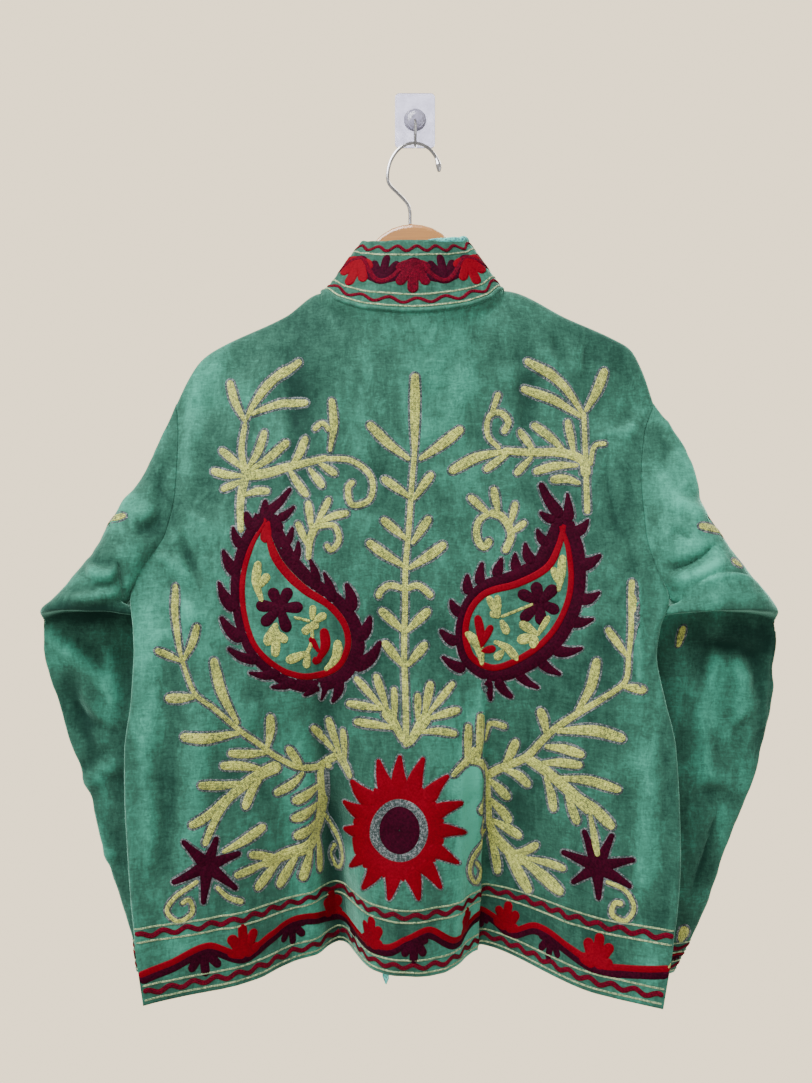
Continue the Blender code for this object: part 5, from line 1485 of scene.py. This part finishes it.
# The pale wall that the camera sees all round, and the weaker light that comes from there
WALL_COLOUR = (1.0, 0.837, 0.579, 1.0)
WALL_BRIGHT = 2.02
AMBIENT_COLOUR = (1.0, 0.95, 0.88, 1.0)
AMBIENT = 0.80
FLOOR_HALF = 1.0
FLOOR_Z = -1.95

# Lamps: place, size, power
Lamp = collections.namedtuple("Lamp", "name place size power")
LAMPS = [
    Lamp("key", (-0.65, -1.15, 1.10), 1.1, 84.0), Lamp("fill_left", (-2.0, -1.2, 0.0), 1.2, 14.0),
    Lamp("fill_right", (1.9, -1.3, 0.1), 1.2, 9.0), Lamp("rear", (0.4, 1.8, 0.9), 1.4, 60.0),
    Lamp("rear_low", (-1.2, 1.6, -0.6), 1.4, 22.0),
]
LAMPS_AIM = (0.0, 0.0, -0.5)


def bowed(leaf):
    """The points of a leaf's or a flame's middle line."""
    start, end = np.array([leaf.x0, leaf.y0], float), np.array([leaf.x1, leaf.y1], float)
    run = end - start
    side = np.array([-run[1], run[0]]) / np.linalg.norm(run)
    return [start, (start + end) / 2 + side * leaf.bow, end]


def spread(values, count):
    """Values spread evenly over a number of places."""
    return np.interp(np.linspace(0, 1, count), np.linspace(0, 1, len(values)), values)


class Garden:
    """The embroidery of one chart: a thread of each colour."""

    def __init__(self, unit_mm):
        self.threads = {name: Thread(kind.height, kind.section, unit_mm) for name, kind in THREADS.items()}

    def draw(self, colour, points, halves, edge=0.0, step=LINE_STEP):
        """A line of a colour, on a grey one that is wider by an edge. step is between its points, in
        millimetres."""
        if edge:
            self.threads["grey"].line(points, halves, grow=edge)
        self.threads[colour].line(points, halves, step=step)

    def leaves(self, rows, colour="cream", edge=EDGE_WIDE):
        for leaf in rows:
            self.draw(colour, bowed(leaf), [leaf.half * share for share in LEAF_SHAPE], edge)

    def stems(self, rows, edge=EDGE_WIDE):
        for stem in rows:
            self.draw("cream", stem.points, [stem.first, stem.last], edge)

    def arms(self, flower, shape, half, edge=0.0):
        middle, tips = flower
        for tip in tips:
            self.draw("maroon", [middle, tip], [half * share for share in shape], edge)

    def boteh(self, boteh):
        """A band of maroon with flames round a red line."""
        path = Path(boteh.outline)
        s = np.linspace(0, path.length, BOTEH_STEPS)
        middle = path.at(s)
        ahead = unit(np.gradient(middle, axis=0))
        side = np.stack([-ahead[:, 1], ahead[:, 0]], axis=1)
        side *= np.sign(((middle - middle.mean(axis=0)) * side).sum(axis=1).mean())
        band = spread(boteh.band, BOTEH_STEPS)
        red = spread(boteh.red, BOTEH_STEPS)
        edged = (band + THIN_EDGE) / 2
        parts = (("grey", edged, edged), ("maroon", band / 2 + BAND_UNDER, band / 2), ("red", red, -red))
        for colour, half, shift in parts:
            self.threads[colour].ribbon(middle + side * shift[:, None], ahead, half, s)
        for flame in boteh.flames:
            waist = flame.foot * FLAME_MIDDLE[0] + flame.tip * FLAME_MIDDLE[1]
            halves = [flame.foot * FLAME_FOOT, waist, flame.tip * FLAME_TIP]
            self.draw("maroon", bowed(flame), halves, THIN_EDGE)

    def sunflower(self):
        angle = np.linspace(0, 2 * np.pi, SUN_STEPS)
        way = np.stack([np.cos(angle), np.sin(angle)], axis=-1)
        middle = np.array(SUNFLOWER[0], float)

        def fan(colour, inner, outer, rows, heights):
            """A ring from an inner oval to an outer one, with heights as shares of its thread's."""
            t = np.linspace(0, 1, rows)[:, None, None]
            flat = middle + way * (inner * (1 - t) + outer * t)
            lift = spread(heights, rows)[:, None] * np.ones(len(angle))
            radius = np.linalg.norm(flat - middle, axis=-1)
            along = np.tile(angle * SUN_ALONG, (rows, 1))
            self.threads[colour].area(flat, lift, np.stack([radius, along], axis=-1))

        fan("grey", SUN_RING * SUN_UNDER, SUN_DISC + THIN_EDGE, 4, [0.9, 1, -0.4])
        for tip in np.array(SUNFLOWER[1], float):
            start = middle + (tip - middle) * SUN_PETAL_START
            bend = (tip - middle)[::-1] * (SUN_PETAL_BOW, -SUN_PETAL_BOW)
            self.draw("red", [start, (start + tip) / 2 + bend, tip], SUN_PETAL, THIN_EDGE)
        fan("red", SUN_RING * SUN_UNDER, SUN_DISC, 7, [0.5, 0.92, 1, 1, 0.9, -0.3])
        fan("grey", SUN_CORE * SUN_UNDER, SUN_RING, 6, [1.8, 3.2, 3.2, 3.0, 0.4])
        fan("maroon", SUN_CORE * SUN_MIDDLE, SUN_CORE, 8, [1.5, 1.5, 1.5, 1.5, 1.4, 0.4])


def back_garden():
    garden = Garden(PIXEL)
    for rows in LEAVES.values():
        garden.leaves(rows)
    for rows in STEMS.values():
        garden.stems(rows)
    for boteh in BOTEHS:
        garden.boteh(boteh)
    for mass in MASSES:
        garden.draw("maroon", mass, MASS_HALVES, THIN_EDGE)
    garden.leaves(INSIDE_LEAVES, edge=0.0)
    garden.stems(INSIDE_STEMS, edge=0.0)
    for flower in SMALL_FLOWERS:
        garden.arms(flower, PETAL_SHAPE, PETAL_HALF)
    garden.leaves(RED_LEAVES, "red", 0.0)
    for star in STARS:
        garden.arms(star, ARM_SHAPE, ARM_HALF, THIN_EDGE)
    garden.sunflower()
    garden.draw("cream", BAR_TACK, [TACK_HALF])
    return garden


def even(start, end, step):
    return np.linspace(start, end, max(int((end - start) / step), LEAST_POINTS))


def wavy_lines(garden, start, end, lines=HEM_BAND.lines, waves=HEM_BAND.waves):
    """Straight pale lines and wavy crimson ones at some heights over an edge."""
    run = even(start, end, LINE_RUN)
    for height in lines:
        garden.draw("pale", np.stack([run, run * 0 + height], axis=1), [LINE_HALF], step=4.0)
    fine = even(start, end, WAVE_RUN)
    for height in waves:
        wave = height + WAVE_HIGH * np.sin(fine * 2 * np.pi / WAVE_LONG)
        garden.draw("crimson", np.stack([fine, wave], axis=1), [WAVE_HALF], step=2.0)


def vine_line(garden, line, half=VINE_HALF):
    for colour, (shift, share) in (("maroon", VINE_MAROON), ("red", VINE_RED)):
        garden.draw(colour, line + [0, half * shift], [half * share], step=2.5)


def bloom(garden, colour, along, height, way, size, wide=1.0):
    """A small fan of lobes that grows up or down from a vine."""
    for lean, long in LOBES:
        angle = math.radians(lean)
        tip = (along + math.sin(angle) * long * size * wide, height + way * math.cos(angle) * long * size)
        garden.draw(colour, [(along, height), tip], [half * size for half in LOBE_HALVES], step=2.0)


def border(garden, band, start, end):
    """A band with pale and wavy crimson lines and a regular vine between them."""
    wavy_lines(garden, start, end, band.lines, band.waves)
    crest = band.first + band.long / 4
    k = math.floor((start - crest) / band.long)
    while crest + k * band.long < end + band.long:
        spots = ((crest + (k - 0.5) * band.long, 1, "red"), (crest + k * band.long, -1, "maroon"))
        for place, way, colour in spots:
            if start + BLOOM_CLEAR < place < end - BLOOM_CLEAR:
                bloom(garden, colour, place, band.middle - way * (band.high - BLOOM_INSIDE), way, band.size)
        k += 1
    fine = even(start, end, WAVE_RUN)
    vine = band.middle + band.high * np.sin((fine - band.first) * 2 * np.pi / band.long)
    vine_line(garden, np.stack([fine, vine], axis=1), VINE_HALF * band.size)


def back_hem(length, chart):
    """The back's hem border, with its vine and flowers where the photograph shows them."""
    garden = Garden(METRE)
    wavy_lines(garden, END_CLEAR, length - END_CLEAR)
    flat = np.stack([np.linspace(0, length, VINE_SAMPLES), np.full(VINE_SAMPLES, HEM_BAND.middle)], axis=1)
    seen = project(chart(flat, np.zeros(VINE_SAMPLES)))[:, 0]
    order = np.argsort(seen)
    pixels, heights = np.array(VINE, float).T
    places = np.interp(pixels, seen[order], flat[order, 0])
    keep = np.concatenate([[True], np.diff(places) > VINE_APART])
    path = Path(np.stack([places[keep], heights[keep] * MM], axis=1))
    line = path.at(np.linspace(0, path.length, VINE_POINTS))
    for flower in BLOOMS:
        along = np.interp(flower.x, seen[order], flat[order, 0])
        height = np.interp(along, line[:, 0], line[:, 1])
        high, colour = (UPRIGHT_HIGH, "red") if flower.way > 0 else (HANGING_HIGH, "maroon")
        size = flower.high * PIXEL * MM / high
        wide = flower.wide * PIXEL * MM / 2 / (BLOOM_HALF * size)
        bloom(garden, colour, along, height, flower.way, size, wide)
    vine_line(garden, line)
    return garden


def turned_points(points, angle, size):
    x, y = np.array(points, float).T * size
    cos, sin = math.cos(math.radians(angle)), math.sin(math.radians(angle))
    return np.stack([x * cos - y * sin, x * sin + y * cos], axis=1)


def sprig(angle, size):
    """A stem with leaves, and a red flower with maroon arms at its foot."""
    garden = Garden(METRE)
    scale = MM * size
    for foot, tip, half in SPRIG_LEAVES:
        halves = [half * scale * share for share in LEAF_SHAPE]
        garden.draw("cream", turned_points([foot, tip], angle, scale), halves, EDGE_WIDE * MM)
    halves = [half * scale for half in SPRIG_STEM_HALVES]
    garden.draw("cream", turned_points(SPRIG_STEM, angle, scale), halves, EDGE_WIDE * MM)
    for k in range(SPRIG_ARMS):
        way = k * 2 * math.pi / SPRIG_ARMS + SPRIG_ARM_LEAN
        tip = (SPRIG_ARM_LONG * math.cos(way), SPRIG_ARM_LONG * math.sin(way))
        halves = [SPRIG_ARM_HALF * scale * share for share in ARM_SHAPE]
        garden.draw("maroon", turned_points([(0, 0), tip], angle, scale), halves, THIN_EDGE * MM)
    reach = SPRIG_CORE_LONG * scale
    garden.draw("red", [(-reach, 0), (reach, 0)], [SPRIG_CORE_HALF * scale])
    return garden


def mapped(garden, prefix, chart):
    """The pieces of a garden, one for each colour that it uses."""
    return [garden.threads[name].build(f"{prefix}_{name}", chart, kind.material)
            for name, kind in THREADS.items() if garden.threads[name].grids]


def add_sprigs(name, rows, cloth, turned):
    made = []
    for number, (across, up, angle, size) in enumerate(rows):
        made += mapped(sprig(angle, size), f"{name}_motif_{number}", patch_chart(cloth, across, up, turned))
    return made


def add_roll(name, points, radii, material):
    """A roll along a line, with ends that close to points."""
    ahead = unit(np.gradient(points, axis=0))
    side = unit(np.cross(ahead, [0.0, 0.0, 1.0]))
    rise = np.cross(side, ahead)
    angle = np.linspace(0, 2 * np.pi, ROLL_SIDES + 1)[:-1]
    ring = np.cos(angle)[None, :, None] * side[:, None] + np.sin(angle)[None, :, None] * rise[:, None]
    grid = points[:, None] + ring * radii[:, None, None]
    round_it = np.tile(angle / (2 * np.pi) * ROLL_ROUND, (len(points), 1))
    along = np.tile(lengths_along(points)[:, None], (1, ROLL_SIDES))
    uvs = np.stack([round_it, along], axis=-1).reshape(-1, 2)
    faces = grid_faces(len(points), ROLL_SIDES, loop=True)
    obj = make_mesh(name, grid.reshape(-1, 3), faces, uvs, material)
    return obj


def back_piece():
    shell = add_shell("jacket_back", BACK, back_places(), body_heights(BACK_ROWS), VELVET)
    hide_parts("back")
    trims = mapped(back_garden(), "back_motifs", picture_chart(BACK, guess_back))
    chart, length = strip_chart(BACK, HEM_ROW, body_up)
    trims += mapped(back_hem(length, chart), "back_hem", chart) + [tab_piece()]


def edge_chart(cloth):
    """A chart in metres up a front's edge, and across from it."""
    def chart(flat, lift):
        across = np.clip(1 - flat[:, 1] / FRONT_WIDE, 0.0, 1.0)
        return cloth.place(across, body_up(flat[:, 0]), CLOTH / 2 + lift)
    return chart


def front_piece(side):
    name = "front_" + SIDE_NAME[side]
    cloth = FRONT[side]
    shell = add_shell("jacket_" + name, cloth, front_places(), body_heights(FRONT_ROWS), VELVET)
    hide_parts(name)
    chart, length = strip_chart(cloth, HEM_ROW, body_up)
    hem = Garden(METRE)
    border(hem, HEM_BAND, END_CLEAR, length - END_CLEAR)
    trims = mapped(hem, name + "_hem", chart)
    edge = Garden(METRE)
    wavy_lines(edge, *EDGE_RUN, HEM_BAND.lines[:2], HEM_BAND.waves[:1])
    trims += mapped(edge, name + "_edge", edge_chart(cloth))
    trims += add_sprigs(name, FRONT_SPRIGS, cloth, 1.0)


def sleeve_piece(side):
    name = "sleeve_" + SIDE_NAME[side]
    cloth = SLEEVE[side]
    turns = np.linspace(0, 1, SLEEVE_TURNS + 1)[:-1]
    bends = zip(SLEEVE_BENDS, SLEEVE_BENDS[1:], SLEEVE_ROWS)
    stretches = [np.linspace(start, end, count) for start, end, count in bends]
    shell = add_shell("jacket_" + name, cloth, turns, np.unique(np.concatenate(stretches)), VELVET)
    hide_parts(name)
    chart, length = strip_chart(cloth, CUFF_ROW, cuff_up)
    cuff = Garden(METRE)
    border(cuff, CUFF_BAND, 0.0, length)
    trims = mapped(cuff, name + "_cuff", chart)
    shown = Garden(PIXEL)
    shown.leaves(SLEEVE_LEAVES[side])
    trims += mapped(shown, name + "_tips", picture_chart(cloth, guess_sleeve))
    for turn, along, long, half in SLEEVE_BARS[side]:
        spot = Garden(METRE)
        spot.draw("cream", [(0, -long), (0, long)], [half * share for share in LEAF_SHAPE], EDGE_WIDE * MM)
        trims += mapped(spot, name + "_bar", patch_chart(cloth, turn, along, -1.0))
    trims += add_sprigs(name, SLEEVE_SPRIGS[side], cloth, -1.0)


def collar_garden(reach):
    """The collar's embroidery, as far as a reach to both sides of its middle."""
    garden = Garden(METRE)
    run = np.linspace(-reach, reach, int(reach / COLLAR_STEP))
    for share in COLLAR_LINES:
        level = run * 0 + share * COLLAR_HIGH
        garden.draw("pale", np.stack([run, level], axis=1), [COLLAR_LINE_HALF], step=3.0)
    for share in COLLAR_WAVES:
        swing = COLLAR_WAVE_HIGH * np.sin(run * 2 * np.pi / COLLAR_WAVE_LONG + COLLAR_WAVE_START)
        wave = (share + swing) * COLLAR_HIGH
        garden.draw("crimson", np.stack([run, wave], axis=1), [COLLAR_WAVE_HALF], step=1.6)
    low, high = COLLAR_VINE
    count = int(reach / COLLAR_VINE_LONG) + 1
    for k in range(-count, count + 1):
        crest = k * COLLAR_VINE_LONG
        if abs(crest) < reach - BLOOM_CLEAR:
            inside, size, wide = HANGING_BLOOM
            colour = "crimson" if k % 2 == 0 else "red"
            bloom(garden, colour, crest, (high - inside) * COLLAR_HIGH, -1, size, wide)
        trough = crest + COLLAR_VINE_LONG / 2
        if abs(trough) < reach - BLOOM_CLEAR:
            inside, size, wide = UPRIGHT_BLOOM
            bloom(garden, "maroon", trough, (low + inside) * COLLAR_HIGH, 1, size, wide)
    vine = ((low + high) / 2 + (high - low) / 2 * np.cos(run * 2 * np.pi / COLLAR_VINE_LONG)) * COLLAR_HIGH
    for colour, half in COLLAR_VINE_HALVES.items():
        garden.draw(colour, np.stack([run, vine], axis=1), [half], step=2.5)
    return garden


def collar_welt():
    run = np.linspace(WELT_END, 1 - WELT_END, WELT_POINTS)
    line = COLLAR.place(run, run * 0, run * 0 + CLOTH / 2) - [0.0, 0.0, WELT_LOWER]
    taper = np.sqrt(np.clip(np.minimum(run - run[0], run[-1] - run) / WELT_TAPER, WELT_TAPER, 1))
    return add_roll("collar_welt", line, WELT_RADIUS * taper, VELVET)


def collar_binding():
    ends = [COLLAR.form(place, 1.0)[0] for place in (0.25, 0.75)]
    middle = np.interp(0.0, ends, [0.25, 0.75])
    run = middle + np.linspace(*BINDING_RUN, BINDING_POINTS) * 0.5 / (ends[1] - ends[0])
    swell = np.sqrt(np.clip(np.sin(np.linspace(0, np.pi, BINDING_POINTS)), 0.0, 1.0))
    shift_y, shift_z = (low + swell * more for low, more in (BINDING_Y, BINDING_Z))
    shift = np.stack([swell * 0, shift_y, shift_z], axis=1)
    line = COLLAR.form(run, np.ones(BINDING_POINTS)) + shift
    return add_roll("collar_binding", line, BINDING_RADIUS * np.maximum(swell, BINDING_LEAST), AQUA)


def collar_piece():
    places, heights = np.linspace(0, 1, COLLAR_COLUMNS), np.linspace(0, 1, COLLAR_ROWS)
    shell = add_shell("jacket_collar", COLLAR, places, heights, VELVET)
    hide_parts("stand_collar")
    dense = np.linspace(0.0, 1.0, COLLAR_SAMPLES)
    length = lengths_along(COLLAR.form(dense, np.full(COLLAR_SAMPLES, 0.5)))
    middle = np.interp(0.5, dense, length)

    def chart(flat, lift):
        across = np.interp(flat[:, 0] + middle, length, dense)
        return COLLAR.place(across, np.clip(flat[:, 1] / COLLAR_HIGH, 0.0, 1.0), CLOTH / 2 + lift)

    trims = mapped(collar_garden(min(middle, length[-1] - middle) - COLLAR_END), "collar", chart)
    trims += [collar_welt(), collar_binding()]


def tab_form(across, up):
    across, up = paired(across, up)
    low = back_form(TAB_ACROSS, 0.0)
    rise = unit(back_form(TAB_ACROSS, TAB_UP) - low)
    run = unit(back_form(TAB_ACROSS + TAB_ASIDE, 0.0) - back_form(TAB_ACROSS - TAB_ASIDE, 0.0))
    inward = unit(np.cross(run, rise))
    inward *= np.sign(inward[1])
    middle = low + inward * (CLOTH / 2 + TAB_THICK / 2 + TAB_CLEAR)
    width = TAB_WIDE * (TAB_TIP + (1 - TAB_TIP) * np.minimum(up / TAB_SHOULDER, 1.0))
    curl = TAB_CURL * np.sin(across * np.pi) * (1 - up)
    aside = ((across - 0.5) * width)[..., None] * run
    return middle + aside + rise * (TAB_HIGH * up - TAB_BELOW)[..., None] + inward * curl[..., None]


def tab_piece():
    below, above = TAB_ROWS
    heights = [np.linspace(0, TAB_SHOULDER, below), np.linspace(TAB_SHOULDER, 1, above)]
    heights = np.unique(np.concatenate(heights))
    places = np.linspace(0, 1, TAB_COLUMNS)
    shell = add_shell("jacket_hem_tab", Cloth("tab", tab_form, 1), places, heights, AQUA, TAB_THICK / 2)
    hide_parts("hem_tab")
    return shell


def hardware():
    """The hanger and the wall hook show their solids."""
    looks = {"hanger_bar": wood_material(), "hanger_hook": steel_material(), "wall_plate": clear_material()}
    looks["wall_hook"] = looks["hanger_hook"]
    looks["hook_boss"] = looks["wall_plate"]
    for name, material in looks.items():
        frame["nodes"][name].material_slots[0].material = material


def world():
    made = bpy.data.worlds.new("studio")
    made.use_nodes = True
    tree = made.node_tree
    seen = tree.nodes["Background"]
    put(tree, seen, {"Color": WALL_COLOUR, "Strength": WALL_BRIGHT})
    light = node(tree, "ShaderNodeBackground", {"Color": AMBIENT_COLOUR, "Strength": AMBIENT})
    eye = node(tree, "ShaderNodeLightPath", {}).outputs["Is Camera Ray"]
    mixed = node(tree, "ShaderNodeMixShader", {0: eye, 1: light.outputs[0], 2: seen.outputs[0]})
    put(tree, tree.nodes["World Output"], {"Surface": mixed.outputs[0]})
    bpy.context.scene.world = made


def stage():
    mesh = bpy.data.meshes.new("floor")
    corners = [(-1, -1), (1, -1), (1, 1), (-1, 1)]
    mesh.from_pydata([(x * FLOOR_HALF, y * FLOOR_HALF, FLOOR_Z) for x, y in corners], [], [(0, 1, 2, 3)])
    floor = bpy.data.objects.new("floor", mesh)
    floor.data.materials.append(floor_material())
    bpy.context.scene.collection.objects.link(floor)
    for lamp in LAMPS:
        data = bpy.data.lights.new(lamp.name, "AREA")
        data.size = lamp.size
        data.energy = lamp.power
        made = bpy.data.objects.new(lamp.name, data)
        made.location = lamp.place
        made.rotation_euler = (Vector(LAMPS_AIM) - Vector(lamp.place)).to_track_quat("-Z", "Y").to_euler()
        bpy.context.scene.collection.objects.link(made)


def camera():
    data = bpy.data.cameras.new("camera")
    data.sensor_fit = "VERTICAL"
    data.sensor_height = SENSOR
    data.lens = FOCAL / PICTURE_HIGH * SENSOR
    eye = bpy.data.objects.new("camera", data)
    eye.location = (EYE_X, EYE_Y, EYE_Z)
    eye.rotation_euler = (math.pi / 2, 0, 0)
    bpy.context.scene.collection.objects.link(eye)
    bpy.context.scene.camera = eye


def main():
    camera()
    back_piece()
    for side in (-1, 1):
        front_piece(side)
        sleeve_piece(side)
    collar_piece()
    hardware()
    world()
    stage()


main()
